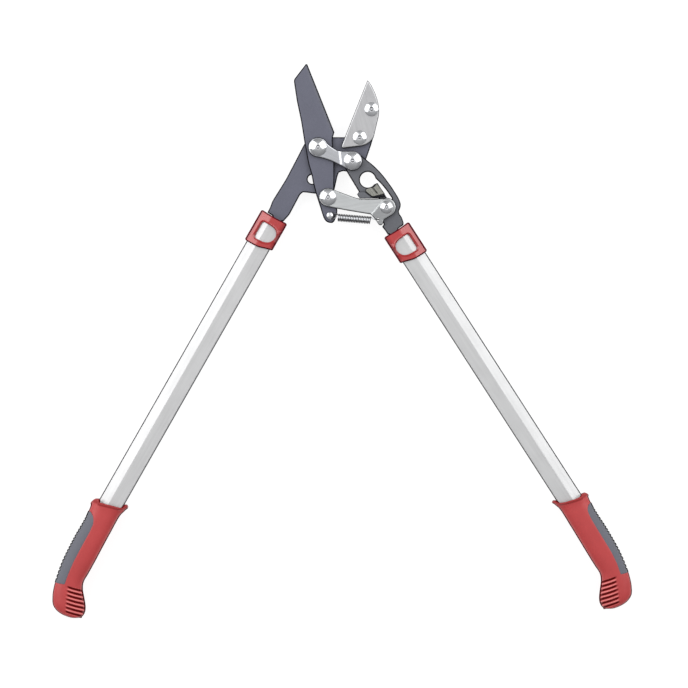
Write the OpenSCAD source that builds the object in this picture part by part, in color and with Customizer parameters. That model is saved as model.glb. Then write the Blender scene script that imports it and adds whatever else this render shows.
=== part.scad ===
// Two-handed anvil lopper with a compound linkage, shown fully open and lying flat.
// X runs across the handles, Y runs from the grips to the blade tip, Z points up.
// The plates are drawn about the blade pivot, in the mid-plane of the handles.

/* [Placement] */
// Height of the handles' mid-plane above the surface the tool lies on
axis_h = 17; // [17:0.5:20]
// X of the blade pivot from the centre of the footprint
pivot_x = -29.95; // [-35:0.05:-25]
// Y of the blade pivot from the centre of the footprint
pivot_y = 242.05; // [235:0.05:250]

/* [Jaw] */
// Thickness of the anvil lever plate
anvil_lever_t = 5; // [4:0.5:5]
// Thickness of the blade
blade_t = 4.5; // [3.5:0.5:4.5]
// Thickness of the anvil plate
anvil_t = 6; // [4:0.5:6]
// Width of the ground bevel along the cutting edge
grind_w = 4; // [3:0.5:6]
// Thickness left at the cutting edge
edge_t = 0.3; // [0.2:0.1:0.6]
// Radius of the dome screws that hold the anvil plate
anvil_screw_r = 8.75; // [7:0.25:9]

/* [Linkage] */
// Thickness of the drive lever plate
lever_t = 5.5; // [4:0.5:5.5]
// Thickness of the pivot strap
strap_t = 3; // [2.5:0.5:3]
// Thickness of the drive link
link_t = 3.5; // [3:0.5:3.5]
// Height of the joggle in the strap and in the link
joggle = 1.5; // [1:0.5:1.5]
// Shank radius of the two main pivot bolts
bolt_r = 5; // [4:0.5:5]
// Head radius of the two main pivot bolts
pivot_head_r = 11; // [9.6:0.2:11.2]
// Head radius of the bolt that joins the blade and the drive link
bolt_head_r = 10.4; // [9:0.2:11]
// Radial clearance of a running pivot
run_clear = 0.05; // [0.02:0.01:0.1]
// Radius of the link hole on the blade's bolt
link_hole_r = 6.1; // [6:0.05:6.5]

/* [Spring] */
// Outside radius of the opening spring
spring_r = 4.9; // [4:0.1:5.4]
// Wire diameter of the opening spring
wire_d = 1.5; // [1:0.1:1.6]
// Turns of the opening spring
spring_turns = 20; // [14:1:22]

/* [Handles] */
// Angle of the left handle to the centre line
left_angle = 29.7; // [29:0.1:30.5]
// Angle of the right handle to the centre line
right_angle = 32.8; // [32:0.1:33.5]
// Distance from the ferrule's centre to the left grip's lip
left_reach = 392; // [340:1:450]
// Distance from the ferrule's centre to the right grip's lip
right_reach = 376; // [340:1:450]
// How much further out the left soft pad's edge runs
left_pad_edge = 0; // [0:0.5:5]
// How much further out the right soft pad's edge runs
right_pad_edge = 3.5; // [0:0.5:5]
// Width of the handle tubes
tube_w = 30.6; // [29.6:0.1:31]
// Thickness of the handle tubes
tube_h = 17; // [16.6:0.1:17]
// Wall of the handle tubes
tube_wall = 2; // [1.6:0.1:2]
// Wall of the ferrules
ferrule_wall = 3.1; // [1.8:0.1:3.3]

/* [Hidden] */
$fn = 64;

// Pivots, from the blade pivot
P1 = [0, 0];
Q1 = [43, -17];
P2 = [12.5, -62.5];
Q2 = [85.5, -75];
P3 = [14.75, -85.25];
S4 = [74.9, -90.2];
// Ferrule centres
FL = [-64.5, -104.4];
FR = [108.75, -120];

// Levels, from the handles' mid-plane
zA1 = -0.5;               // front of the anvil lever
zA0 = zA1 - anvil_lever_t; // back of the anvil lever
zB0 = 0.5;                // back of the blade and of the drive lever
zB1 = zB0 + blade_t;
zC1 = zB0 + lever_t;
zF0 = 6.1;                // underside of the strap and link on the blade's side
zF1 = zF0 + joggle;       // underside on the drive lever's side
zN0 = -17;                // end face of the main nuts
zS = 10.4;                // spring axis

steel_dark = [0.36, 0.37, 0.42];
lever_dark = [0.31, 0.31, 0.34];
steel_bright = [0.76, 0.77, 0.79];
zinc = [0.72, 0.73, 0.75];
bronze = [0.70, 0.55, 0.32];
red = [0.72, 0.20, 0.21];
grey = [0.55, 0.55, 0.58];
alu = [0.80, 0.80, 0.81];

module place() { translate([pivot_x, pivot_y, axis_h]) children(); }
module on_left() { place() translate([FL[0], FL[1], 0]) rotate(270 - left_angle) mirror([0, 1, 0]) children(); }
module on_right() { place() translate([FR[0], FR[1], 0]) rotate(right_angle - 90) children(); }
module slab(z0, z1) { translate([0, 0, z0]) linear_extrude(z1 - z0) children(); }
module disc(p, r, z0, z1) { translate([p[0], p[1], z0]) cylinder(r = r, h = z1 - z0); }
module ring(p, ri, ro, z0, z1) { difference() { disc(p, ro, z0, z1); disc(p, ri, z0 - 1, z1 + 1); } }
module hexnut(p, r, rb, z0, z1) {
  difference() {
    translate([p[0], p[1], z0]) rotate(30) cylinder(r = r, h = z1 - z0, $fn = 6);
    disc(p, rb, z0 - 1, z1 + 1);
  }
}
// Domed head: short straight rim under a spherical cap
module dome(p, r, z, rim, cap) {
  R = (r * r + cap * cap) / (2 * cap);
  translate([p[0], p[1], z]) intersection() {
    cylinder(r = r, h = rim + cap + 1);
    translate([0, 0, rim + cap - R]) sphere(R);
  }
}

// ---- vector helpers ----
function unit(v) = v / norm(v);
function wrap(i, n) = (i + n) % n;
// Moves every side of a convex outline inwards by d (outwards if negative)
function inset(p, d) = let (n = len(p)) [for (i = [0 : n - 1])
  let (a = p[wrap(i - 1, n)], b = p[i], c = p[wrap(i + 1, n)],
       u = unit(b - a), v = unit(c - b),
       nu = [-u[1], u[0]], nv = [-v[1], v[0]],
       k = d / (1 + nu * nv))
  b + k * (nu + nv)];

// ---- outlines, from the blade pivot ----
anvil_lever_pts = [
  [-63.7, -81.2], [-60.2, -75.2], [-57.8, -67.6], [-40.8, -40.4], [-29, -18], [-17.6, 4.2], [-13.5, 10], [-8, 13.1],
  [33, 13.1], [36.5, 16], [60, 74], [63, 75.5], [66, 73.5], [71, 62], [73, 44], [69.2, 11.5], [60, -15],
  [57, -22], [51.5, -27.5], [44, -30.6], [35.5, -30], [31.2, -29.2], [26, -31.2], [24.2, -35.6], [20.6, -52.5],
  [19, -56.2], [15, -58], [-2, -58], [-14, -56.2], [-18.9, -55.9], [-22.4, -58.6], [-35.8, -84], [-40, -88.6], [-43.6, -92.7]];
anvil_pts = [
  [61.7, 84.2], [29.2, 2.2], [29.4, 0.1], [30.9, -1.3], [44.5, 0.4], [57.5, 2], [65.2, 6.5], [69.2, 11.5],
  [76.6, 42.8], [75.4, 55.5], [72.1, 66.4], [66.4, 78.5]];
blade_pts = [
  [20.45, 18.8], [-12.85, 102.5], [-13.8, 104.2], [-15.4, 104.2], [-29.4, 86], [-30.2, 84], [-30.2, 82], [-26.6, 58], [-21.4, 33.5],
  [-16.8, 4.4], [-12, -22.5], [-8.4, -33], [-6.2, -45], [-2.8, -58.2], [2.4, -74], [4.2, -80], [6.8, -88.2], [9.6, -92.4], [13.6, -94.4],
  [18, -94.4], [20.4, -92.4], [24, -83.2], [24.2, -77.5], [23, -72.5], [19.9, -51.2], [20.5, -38.8], [20.4, -16.2],
  [18.2, 8.8], [18.6, 13.1]];
lever_pts = [
  [52.2, -8.2], [59.9, -15], [71.8, -24.4], [82.4, -36.2], [92.4, -50], [101.1, -63.8], [103.6, -71.2], [102.6, -76.2],
  [101, -79.4], [101.5, -83], [104.8, -87.2], [107, -94.5], [106.7, -96.9], [87.3, -109.5], [84.4, -104.6], [79.9, -99.2],
  [82, -96.2], [79.5, -90], [76.5, -84.5], [74.6, -79], [74.6, -72], [77, -66], [76, -63.7], [52, -63.7],
  [48.6, -58.8], [51, -55.6], [35.5, -30], [31.4, -21.2], [30.7, -17], [33, -10], [38, -5.8], [44, -4.7]];
slot_pts = [
  [68.6, -35.4], [72.3, -39.2], [80.6, -47.4], [87.8, -57], [92.2, -63.6], [91.6, -65.4], [89.6, -65.6],
  [85.4, -62.2], [84.4, -60.2], [74.2, -44.2], [69.6, -46.4]];
bumper_pts = [
  [58.4, -54.6], [60.5, -51.4], [70, -49], [73.4, -44.2], [83.4, -58], [82.6, -58.6], [68.6, -62], [66.8, -61.6]];
tab_pts = [
  [48.6, -58.8], [52, -63.7], [68, -63.7], [84.2, -62], [84, -59.2], [68.6, -62.3], [66, -61.8], [58, -55.6], [51, -55.6]];
strap_left_pts = [[12.2, 4.4], [17, 0.4], [23.6, -3.6], [28, -4.6], [28, -23.2], [19.5, -18.6], [11.6, -15.5], [2.9, -13], [-3, -12]];
strap_right_pts = [[28, -4.6], [43, -4.7], [36, -27], [28, -23.2]];
link_left_pts = [
  [15, -51.4], [22.5, -54.1], [44.2, -62.2], [51, -64.2], [68, -64.4], [79.4, -68.5], [65.4, -85.2], [65.9, -83.9], [37.4, -79.2], [19.2, -75.8], [12, -74]];
// Line of the joggle in the drive link
jog_a = [66.25, -84.25];
jog_b = [78.25, -69.9];

// ---- blade side of the jaw ----
module anvil_lever() {
  color(steel_dark) {
    difference() {
      union() {
        place() slab(zA0, zA1) polygon(anvil_lever_pts);
        on_left() translate([-22, -10.3, zA0]) cube([72, 12.6, anvil_lever_t]);
      }
      place() {
        disc(P1, bolt_r + 0.05, zA0 - 1, zA1 + 1);
        disc(Q1, bolt_r + 0.05, zA0 - 1, zA1 + 1);
        disc([-7.4, -39.6], 5.6, zA0 - 1, zA1 + 1);
        for (p = anvil_screw_pos) disc(p, 3.05, zA0 - 1, zA1 + 1);
      }
      on_left() for (s = pin_s) disc([s, pin_u], pin_r + 0.05, zA0 - 1, zA1 + 1);
    }
  }
}

anvil_screw_pos = [[66.75, 47.5], [52, 12.25]];
module anvil_plate() {
  color(steel_bright) place() difference() {
    slab(zA1, zA1 + anvil_t) polygon(anvil_pts);
    for (p = anvil_screw_pos) disc(p, 3.05, zA1 - 1, zA1 + anvil_t + 1);
  }
}
module anvil_screws() {
  color(zinc) place() for (p = anvil_screw_pos) union() {
    dome(p, anvil_screw_r, zA1 + anvil_t, 0.8, 2.6);
    disc(p, 3, zA0 + 0.3, zA1 + anvil_t + 0.5);
  }
}

// Joggled strap across the two main pivots
module pivot_strap() {
  color(steel_bright) place() difference() {
    union() {
      slab(zF0, zF0 + strap_t) polygon(strap_left_pts);
      disc(P1, 12.5, zF0, zF0 + strap_t);
      slab(zF1, zF1 + strap_t) polygon(strap_right_pts);
      disc(Q1, 12.3, zF1, zF1 + strap_t);
      intersection() {
        slab(zF0, zF1 + strap_t) translate([26, -26]) square([4, 23]);
        slab(zF0, zF1 + strap_t) polygon([[23.6, -3.6], [28, -4.6], [34, -4.7], [34, -26], [28, -23.2], [19.5, -18.6]]);
      }
    }
    disc(P1, bolt_r + 0.05, 0, 20);
    disc(Q1, bolt_r + 0.05, 0, 20);
  }
}
module main_bolt(p, z) {
  union() {
    dome(p, pivot_head_r, z, 1, 4.4);
    disc(p, bolt_r, zN0 + 1, z + 0.5);
  }
}
module blade_pivot_bolt() { color(zinc) place() main_bolt(P1, zF0 + strap_t); }
module lever_pivot_bolt() { color(zinc) place() main_bolt(Q1, zF1 + strap_t); }
module blade_pivot_nut() { color(zinc) place() hexnut(P1, 9.8, bolt_r, zN0, zA0 - 1.5); }
module lever_pivot_nut() { color(zinc) place() hexnut(Q1, 9.8, bolt_r, zN0, zA0 - 1.5); }
module rear_washers() { color(zinc) place() for (p = [P1, Q1]) ring(p, bolt_r + 0.1, 11, zA0 - 1.5, zA0); }
module spacer_washers() { color(bronze) place() for (p = [P1, Q1]) ring(p, bolt_r + 0.1, 11, zA1, zB0 - 0.05); }
module front_washers() {
  color(bronze) place() {
    ring(P1, bolt_r + 0.1, 10.5, zB1 + 0.05, zF0);
    ring(Q1, bolt_r + 0.1, 10.5, zC1 + 0.05, zF1);
  }
}

// ---- blade ----
module blade() {
  ea = blade_pts[0];
  eb = blade_pts[1];
  ang = atan2(eb[1] - ea[1], eb[0] - ea[0]);
  k = (blade_t - edge_t) / 2;
  g = 2 * k / grind_w;
  color(steel_dark) place() difference() {
    slab(zB0, zB1) polygon(blade_pts);
    // both faces ground down to the edge
    translate([ea[0], ea[1], 0]) rotate(ang) rotate([90, 0, 90]) translate([0, 0, -20]) linear_extrude(130) {
      polygon([[grind_w + 2, zB1 + g], [-2, zB1 - k - g], [-2, zB1 + 4], [grind_w + 2, zB1 + 4]]);
      polygon([[grind_w + 2, zB0 - g], [-2, zB0 + k + g], [-2, zB0 - 4], [grind_w + 2, zB0 - 4]]);
    }
    disc(P1, 7, 0, 10);
    disc(P2, 4.05, 0, 10);
    disc(P3, 2.55, 0, 10);
  }
}
module blade_bush() { color(bronze) place() ring(P1, bolt_r + run_clear, 7, zB0, zB1); }
link_z1 = zF0 + link_t;
module blade_link_bolt() {
  color(zinc) place() union() {
    dome(P2, bolt_head_r, link_z1 + 0.15, 1, 4.2);
    disc(P2, 4.6, zB1, link_z1 + 0.4);
    disc(P2, 4, zB0 + 0.1, zB1 + 0.5);
  }
}
module link_spacer() { color(bronze) place() ring(P2, 4.6, 9, zB1, zF0 - 0.05); }
module spring_pin() {
  color(zinc) place() union() {
    disc(P3, 2.5, zB0 + 0.1, zS + 1.4);
    dome(P3, 4, zS + 1, 0.5, 1.2);
  }
}

// ---- drive lever ----
module drive_lever() {
  color(lever_dark) difference() {
    union() {
      place() {
        slab(zB0, zC1) polygon(lever_pts);
        disc(Q1, 12.3, zB0, zC1);
        disc(Q2, 10.9, zB0, zC1);
        slab(zC1 - 0.5, 11.4) polygon(tab_pts);
      }
      on_right() translate([-22, -10.3, zB0]) cube([72, 12.6, lever_t]);
    }
    place() {
      disc([62, -40.4], 9.75, 0, 12);
      slab(0, 12) polygon(slot_pts);
      slab(zC1 - 1, 12) polygon(bumper_pts);
      disc(Q1, 7, 0, 12);
      disc(Q2, 4.05, 0, 12);
    }
    on_right() for (s = pin_s) disc([s, pin_u], pin_r + 0.05, 0, 12);
  }
}
module lever_bush() { color(bronze) place() ring(Q1, bolt_r + run_clear, 7, zB0, zC1); }
module stop_bumper() {
  color([0.62, 0.63, 0.58]) place() difference() {
    slab(zC1 - 1, 9.6) polygon(bumper_pts);
    disc([62, -40.4], 9.8, 0, 12);
  }
}
module lever_link_bolt() {
  color(zinc) place() union() {
    dome(Q2, 8.1, zF1 + link_t + 0.05, 0.9, 3.4);
    disc(Q2, 4, zB0 - 6.2, zF1 + link_t + 0.5);
  }
}
module lever_link_nut() { color(zinc) place() hexnut(Q2, 7.5, 4, zB0 - 7.2, zB0 - 1.2); }
module link_washers() {
  color(zinc) place() {
    ring(Q2, 4.05, 9, zB0 - 1.2, zB0);
    ring(Q2, 4.05, 7.2, zC1, zF1 - 0.05);
  }
}

// ---- drive link ----
module drive_link() {
  u = unit(jog_b - jog_a);
  nl = [-u[1], u[0]];
  color(steel_bright) place() difference() {
    union() {
      // part on the blade's side of the joggle line
      difference() {
        union() {
          slab(zF0, zF0 + link_t) polygon(link_left_pts);
          disc(P2, 11.6, zF0, zF0 + link_t);
        }
        slab(0, 20) polygon([jog_a - 30 * u, jog_b + 30 * u, jog_b + 30 * u - 40 * nl, jog_a - 30 * u - 40 * nl]);
      }
      // part on the drive lever's side, with the spring tab
      intersection() {
        slab(zF1, zF1 + link_t) union() {
          translate(Q2) circle(r = 11.9);
          polygon([[68, -64.4], [79, -63.9], [85.5, -63.1], [92, -85], [82.4, -90.6], [80.6, -96.2], [78.6, -97.6], [76, -97], [73, -92.6], [68, -86.2], [64, -85]]);
        }
        slab(0, 20) polygon([jog_a - 30 * u, jog_b + 30 * u, jog_b + 30 * u - 40 * nl, jog_a - 30 * u - 40 * nl]);
      }
      // bend between the two levels
      intersection() {
        slab(zF0, zF1 + link_t) polygon([jog_a - 30 * u + 1.2 * nl, jog_b + 30 * u + 1.2 * nl, jog_b + 30 * u - 1.2 * nl, jog_a - 30 * u - 1.2 * nl]);
        slab(zF0, zF1 + link_t) polygon([[60, -64.3], [68, -64.4], [79, -63.9], [85.5, -63.1], [92, -80], [76, -92], [68, -86.2], [65.9, -83.9], [60, -82.9]]);
      }
    }
    disc(P2, link_hole_r, 0, 20);
    disc(Q2, 4 + run_clear, 0, 20);
    disc(S4, 1.8, 0, 20);
  }
}

// ---- opening spring: one wire, a loop round the pin, the coil, a loop through the tab ----
sp_a = P3;
sp_b = S4;
sp_u = unit(sp_b - sp_a);
sp_v = [-sp_u[1], sp_u[0]];
sp_len = norm(sp_b - sp_a);
coil_0 = 10.2;            // start of the coil, from the pin
coil_1 = sp_len - 9.4;    // end of the coil
coil_r = spring_r - wire_d / 2;
coil_drop = 1.8;          // the coil hangs this far beside the line of its hooks
hook_r = 3.6;             // loop round the pin
// along the spring, across it in the plane of the plates, and up
function sp_pt(a, b, c) = [sp_a[0] + a * sp_u[0] + b * sp_v[0], sp_a[1] + a * sp_u[1] + b * sp_v[1], zS + c];
turn_n = 12;
spring_path = concat(
  [for (t = [-150 : 30 : 150]) sp_pt(-hook_r * cos(t), hook_r * sin(t), 0)],
  [sp_pt(5.4, 2.3, 0.4), sp_pt(7.8, 2.3, 0.9)],
  [for (i = [0 : spring_turns * turn_n]) let (t = 70 - 360 * i / turn_n)
    sp_pt(coil_0 + (coil_1 - coil_0) * i / (spring_turns * turn_n), coil_r * sin(t) - coil_drop, coil_r * cos(t))],
  [sp_pt(coil_1 + 1.8, 0.9, 2.8), sp_pt(coil_1 + 3.6, 0.4, 2.2)],
  [for (t = [120 : -30 : -120]) sp_pt(sp_len - 2.4 + 3.4 * cos(t), 0, -1.05 + 2.9 * sin(t))]);
module sweep(path, r, m) {
  n = len(path);
  tg = [for (i = [0 : n - 1]) unit(path[min(i + 1, n - 1)] - path[max(i - 1, 0)])];
  n0 = unit(cross(tg[0], [0.3, 0.2, 1]));
  nr = [for (i = 0, v = n0; i < n; i = i + 1, v = i < n ? unit(v - (v * tg[i]) * tg[i]) : v) unit(v - (v * tg[i]) * tg[i])];
  pts = [for (i = [0 : n - 1]) let (a = nr[i], b = cross(tg[i], a)) for (j = [0 : m - 1])
    path[i] + r * (cos(360 * j / m) * a + sin(360 * j / m) * b)];
  polyhedron(pts, concat(
    [[for (j = [0 : m - 1]) m - 1 - j]],
    [for (i = [0 : n - 2]) for (j = [0 : m - 1]) [i * m + j, i * m + (j + 1) % m, (i + 1) * m + (j + 1) % m, (i + 1) * m + j]],
    [[for (j = [0 : m - 1]) (n - 1) * m + j]]), convexity = 20);
}
module opening_spring() { color(zinc) place() sweep(spring_path, wire_d / 2, 6); }

// ---- handles: s along the tube from the ferrule's centre, u outwards, z up ----
pin_s = [-14.6, 19.2];
pin_u = -4;
pin_r = 2.5;
hw = tube_w / 2;
hh = tube_h / 2;
// Flat faces on the inner side, long bevels towards the outer edge
tube_pts = [[-hw, -7], [-hw + 1.5, -hh], [2.5, -hh], [hw, -3.6], [hw, 3.6], [2.5, hh], [-hw + 1.5, hh], [-hw, 7]];
module along(s0, s1) { translate([s0, 0, 0]) rotate([90, 0, 90]) linear_extrude(s1 - s0) children(); }
module tube_shape(reach) {
  difference() {
    along(-19.6, reach + tube_in) polygon(tube_pts);
    along(-25, reach + 100) polygon(inset(tube_pts, tube_wall));
    for (s = pin_s) disc([s, pin_u], pin_r + 0.05, -20, 20);
  }
}
// Plastic liner that fills the tube round the tang
module insert_shape(z0, z1) {
  difference() {
    along(-19.4, 49.8) polygon(inset(tube_pts, tube_wall + 0.1));
    translate([-30, -10.4, z0 - 0.1]) cube([100, 12.8, z1 - z0 + 0.2]);
    for (s = pin_s) disc([s, pin_u], pin_r + 0.05, -20, 20);
  }
}
module pins_shape() { for (s = pin_s) disc([s, pin_u], pin_r, -hh + 0.1, hh - 0.1); }
// Collar with a window on both faces; the lower end is cut to a shallow curve
module ferrule_shape() {
  intersection() {
    difference() {
      along(-20.5, 24) polygon(inset(tube_pts, -ferrule_wall - 0.1));
      along(-30, 30) polygon(inset(tube_pts, -0.1));
      slab(-20, 20) polygon([[-8.2, 7.8], [-6.6, 9.4], [12.4, 9.4], [14.6, 7.2], [13.7, -4], [11.4, -9.2], [7.8, -12.2], [3.6, -13.3], [0, -13.3], [-3.8, -12], [-6.6, -8.8], [-8, -4]]);
    }
    slab(-20, 20) polygon([[-20.5, -20], [17, -20], [18.6, -14], [21.4, -6], [23, 0], [23.2, 8], [22.8, 20], [-20.5, 20]]);
  }
}

// Grip sections: outer edge and inner edge in the plane, and half thickness
grip_rows = [
  [[10, 23.3], [-5, -20.8], 17],
  [[15, 22], [0.4, -19.4], 16.4],
  [[23, 20.3], [12, -17.6], 15.4],
  [[38, 19.5], [32, -17.6], 15.2],
  [[55, 19.7], [50, -18], 15.4],
  [[73, 19.1], [71, -18.6], 15.6],
  [[94, 17.5], [90, -19], 15.4],
  [[112, 14.4], [103, -19.4], 15],
  [[126, 10.9], [111, -23.2], 14.6],
  [[138, 6.1], [118, -29], 14.2],
  [[147, -0.3], [124, -34], 13.6],
  [[150.6, -9], [129, -37.4], 12.6],
  [[150.6, -20], [133.6, -39.2], 11],
  [[147.6, -30.6], [138, -39.4], 8.6],
  [[144, -36.4], [141.4, -38.8], 4]];
grip_n = 16;
// Rounded-rectangle ring on the line between the two edge points
function sgnpow(x, e) = sign(x) * pow(abs(x), e);
function grip_ring(r, d) = let (o = r[0], i = r[1], c = (o + i) / 2, w = norm(o - i) / 2 - d, q = unit(o - i), h = r[2] - d)
  [for (j = [0 : grip_n - 1]) let (t = 360 * j / grip_n, a = sgnpow(cos(t), 0.72) * w, b = sgnpow(sin(t), 0.72) * h)
    [c[0] + a * q[0], c[1] + a * q[1], b]];
function grip_pts(d) = [for (k = [0 : len(grip_rows) - 1]) each grip_ring(grip_rows[k], d)];
module grip_loft(d) {
  m = len(grip_rows);
  n = grip_n;
  polyhedron(grip_pts(d), concat(
    [[for (j = [0 : n - 1]) j]],
    [for (k = [0 : m - 2]) for (j = [0 : n - 1]) each [
      [k * n + j, (k + 1) * n + j, (k + 1) * n + (j + 1) % n],
      [k * n + j, (k + 1) * n + (j + 1) % n, k * n + (j + 1) % n]]],
    [[for (j = [0 : n - 1]) (m - 1) * n + n - 1 - j]]), convexity = 6);
}
function pad_pts(e) = [[22, 30], [24, 14], [28, 8.4 + e * 0.6], [34, 5.4 + e], [44, 4.6 + e], [64, 4.2 + e], [86, 3.6 + e], [104, 2 + e], [116.5, -0.2 + e * 0.8], [119.4, 1 + e * 0.7], [122, 11], [123, 30]];
pad_depth = 2;
tube_in = 70;             // length of tube inside a grip
module grip_shape(reach, e) {
  difference() {
    translate([reach, 0, 0]) grip_loft(0);
    along(reach - 40, reach + tube_in + 0.4) polygon(inset(tube_pts, -0.1));
    difference() {
      translate([reach, 0, 0]) slab(-20, 20) polygon(pad_pts(e));
      translate([reach, 0, 0]) grip_loft(pad_depth + 0.05);
    }
  }
}
module pad_shape(reach, e) {
  translate([reach, 0, 0]) difference() {
    intersection() {
      grip_loft(0);
      slab(-20, 20) polygon(pad_pts(e));
    }
    grip_loft(pad_depth);
  }
}

module left_tube() { color(alu) on_left() tube_shape(left_reach); }
module left_tube_insert() { color([0.25, 0.25, 0.26]) on_left() insert_shape(zA0, zA1); }
module left_tang_pins() { color(zinc) on_left() pins_shape(); }
module left_ferrule() { color(red) on_left() ferrule_shape(); }
module left_grip() { color(red) on_left() grip_shape(left_reach, left_pad_edge); }
module left_grip_pad() { color(grey) on_left() pad_shape(left_reach, left_pad_edge); }
module right_tube() { color(alu) on_right() tube_shape(right_reach); }
module right_tube_insert() { color([0.25, 0.25, 0.26]) on_right() insert_shape(zB0, zC1); }
module right_tang_pins() { color(zinc) on_right() pins_shape(); }
module right_ferrule() { color(red) on_right() ferrule_shape(); }
module right_grip() { color(red) on_right() grip_shape(right_reach, right_pad_edge); }
module right_grip_pad() { color(grey) on_right() pad_shape(right_reach, right_pad_edge); }

anvil_lever();
anvil_plate();
anvil_screws();
pivot_strap();
blade_pivot_bolt();
blade_pivot_nut();
lever_pivot_bolt();
lever_pivot_nut();
rear_washers();
spacer_washers();
front_washers();
left_tube();
left_tube_insert();
left_tang_pins();
left_ferrule();
left_grip();
left_grip_pad();
blade();
blade_bush();
blade_link_bolt();
link_spacer();
spring_pin();
drive_lever();
lever_bush();
stop_bumper();
lever_link_bolt();
lever_link_nut();
link_washers();
right_tube();
right_tube_insert();
right_tang_pins();
right_ferrule();
right_grip();
right_grip_pad();
drive_link();
opening_spring();
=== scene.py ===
import math

import bmesh
import bpy
import numpy as np
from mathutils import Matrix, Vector
from mathutils.geometry import delaunay_2d_cdt


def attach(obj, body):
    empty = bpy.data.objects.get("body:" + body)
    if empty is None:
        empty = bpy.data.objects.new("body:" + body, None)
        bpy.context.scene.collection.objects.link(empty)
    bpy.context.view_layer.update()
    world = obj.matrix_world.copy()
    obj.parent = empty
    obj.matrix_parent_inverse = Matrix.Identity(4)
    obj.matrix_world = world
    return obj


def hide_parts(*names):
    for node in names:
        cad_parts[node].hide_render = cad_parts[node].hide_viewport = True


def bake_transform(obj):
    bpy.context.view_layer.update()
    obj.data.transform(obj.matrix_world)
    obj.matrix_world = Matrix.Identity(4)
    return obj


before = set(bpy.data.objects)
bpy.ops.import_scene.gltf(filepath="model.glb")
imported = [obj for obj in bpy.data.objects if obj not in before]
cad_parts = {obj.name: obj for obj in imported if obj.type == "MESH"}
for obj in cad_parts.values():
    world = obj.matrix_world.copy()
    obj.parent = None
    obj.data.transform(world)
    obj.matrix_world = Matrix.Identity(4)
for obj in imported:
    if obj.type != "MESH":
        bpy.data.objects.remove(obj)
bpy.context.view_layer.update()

# ---------------------------------------------------------------------------
# Frame: plates are drawn in mm about the blade pivot, in the handles' mid-plane
# ---------------------------------------------------------------------------
ORIGIN = np.array([-29.95, 242.05, 17.0])
P1 = (0.0, 0.0)
Q1 = (43.0, -17.0)
P2 = (12.5, -62.5)
Q2 = (85.5, -75.0)
P3 = (14.75, -85.25)
S4 = (74.9, -90.2)
FL = (-64.5, -104.4)
FR = (108.75, -120.0)
LEFT_REACH = 392.0
RIGHT_REACH = 376.0


def metres(p):
    """Points in mm about the blade pivot, as points of the shared frame in metres."""
    return (np.asarray(p, float) + ORIGIN) / 1000.0


def handle_axes(side):
    if side == "left":
        a = math.radians(29.7)
        return np.array(FL), np.array([-math.sin(a), -math.cos(a)]), np.array([-math.cos(a), math.sin(a)])
    a = math.radians(32.8)
    return np.array(FR), np.array([math.sin(a), -math.cos(a)]), np.array([math.cos(a), math.sin(a)])


def on_handle(side, s, u, z):
    """Handle coordinates (along, outwards, up) as mm about the blade pivot."""
    f, ds, du = handle_axes(side)
    s, u, z = np.broadcast_arrays(np.asarray(s, float), np.asarray(u, float), np.asarray(z, float))
    return np.stack([f[0] + s * ds[0] + u * du[0], f[1] + s * ds[1] + u * du[1], z], -1)


# ---------------------------------------------------------------------------
# Outlines
# ---------------------------------------------------------------------------
def smooth(a, b, x):
    t = np.clip((np.asarray(x, float) - a) / (b - a), 0, 1)
    return t * t * (3 - 2 * t)


def signed_area(p):
    x, y = p[:, 0], p[:, 1]
    return 0.5 * float(np.sum(x * np.roll(y, -1) - np.roll(x, -1) * y))


def turned_ccw(p):
    p = np.asarray(p, float)
    return p if signed_area(p) > 0 else p[::-1].copy()


def turned_cw(p):
    p = np.asarray(p, float)
    return p if signed_area(p) < 0 else p[::-1].copy()


def without_doubles(p, tol=1e-3):
    out = []
    for q in p:
        if not out or np.hypot(*(q - out[-1])) > tol:
            out.append(np.asarray(q, float))
    if np.hypot(*(out[0] - out[-1])) <= tol:
        out.pop()
    return np.array(out)


def rounded(pts, sharp=1.0, soft=80.0, soft_turn=33.0, radii=None, step=9.0):
    """Closed outline: slight corners blend into curves, real corners get a small radius."""
    p = np.asarray(pts, float)
    n, out = len(p), []
    for i in range(n):
        a, b, c = p[i - 1], p[i], p[(i + 1) % n]
        u, v = b - a, c - b
        lu, lv = np.hypot(*u), np.hypot(*v)
        u, v = u / lu, v / lv
        turn = math.atan2(u[0] * v[1] - u[1] * v[0], float(u @ v))
        at = abs(turn)
        r = (radii or {}).get(i, sharp if math.degrees(at) > soft_turn else soft)
        if at < math.radians(0.8) or r <= 0:
            out.append(b)
            continue
        d = min(r * math.tan(at / 2), 0.47 * lu, 0.47 * lv)
        r = d / math.tan(at / 2)
        start = b - u * d
        centre = start + np.array([-u[1], u[0]]) * (r if turn > 0 else -r)
        k = max(2, int(math.ceil(math.degrees(at) / step)))
        q = start - centre
        for j in range(k + 1):
            cs, sn = math.cos(turn * j / k), math.sin(turn * j / k)
            out.append(centre + np.array([cs * q[0] - sn * q[1], sn * q[0] + cs * q[1]]))
    return without_doubles(out)


def densified(p, step):
    out = []
    n = len(p)
    for i in range(n):
        a, b = p[i], p[(i + 1) % n]
        k = max(1, int(math.ceil(np.hypot(*(b - a)) / step)))
        for j in range(k):
            out.append(a + (b - a) * j / k)
    return np.array(out)


def circle(c, r, n=64):
    t = np.arange(n) * 2 * math.pi / n
    return np.stack([c[0] + r * np.cos(t), c[1] + r * np.sin(t)], 1)


def arc(c, r, a0, a1, n):
    t = np.radians(np.linspace(a0, a1, n))
    return [(c[0] + r * math.cos(x), c[1] + r * math.sin(x)) for x in t]


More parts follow.
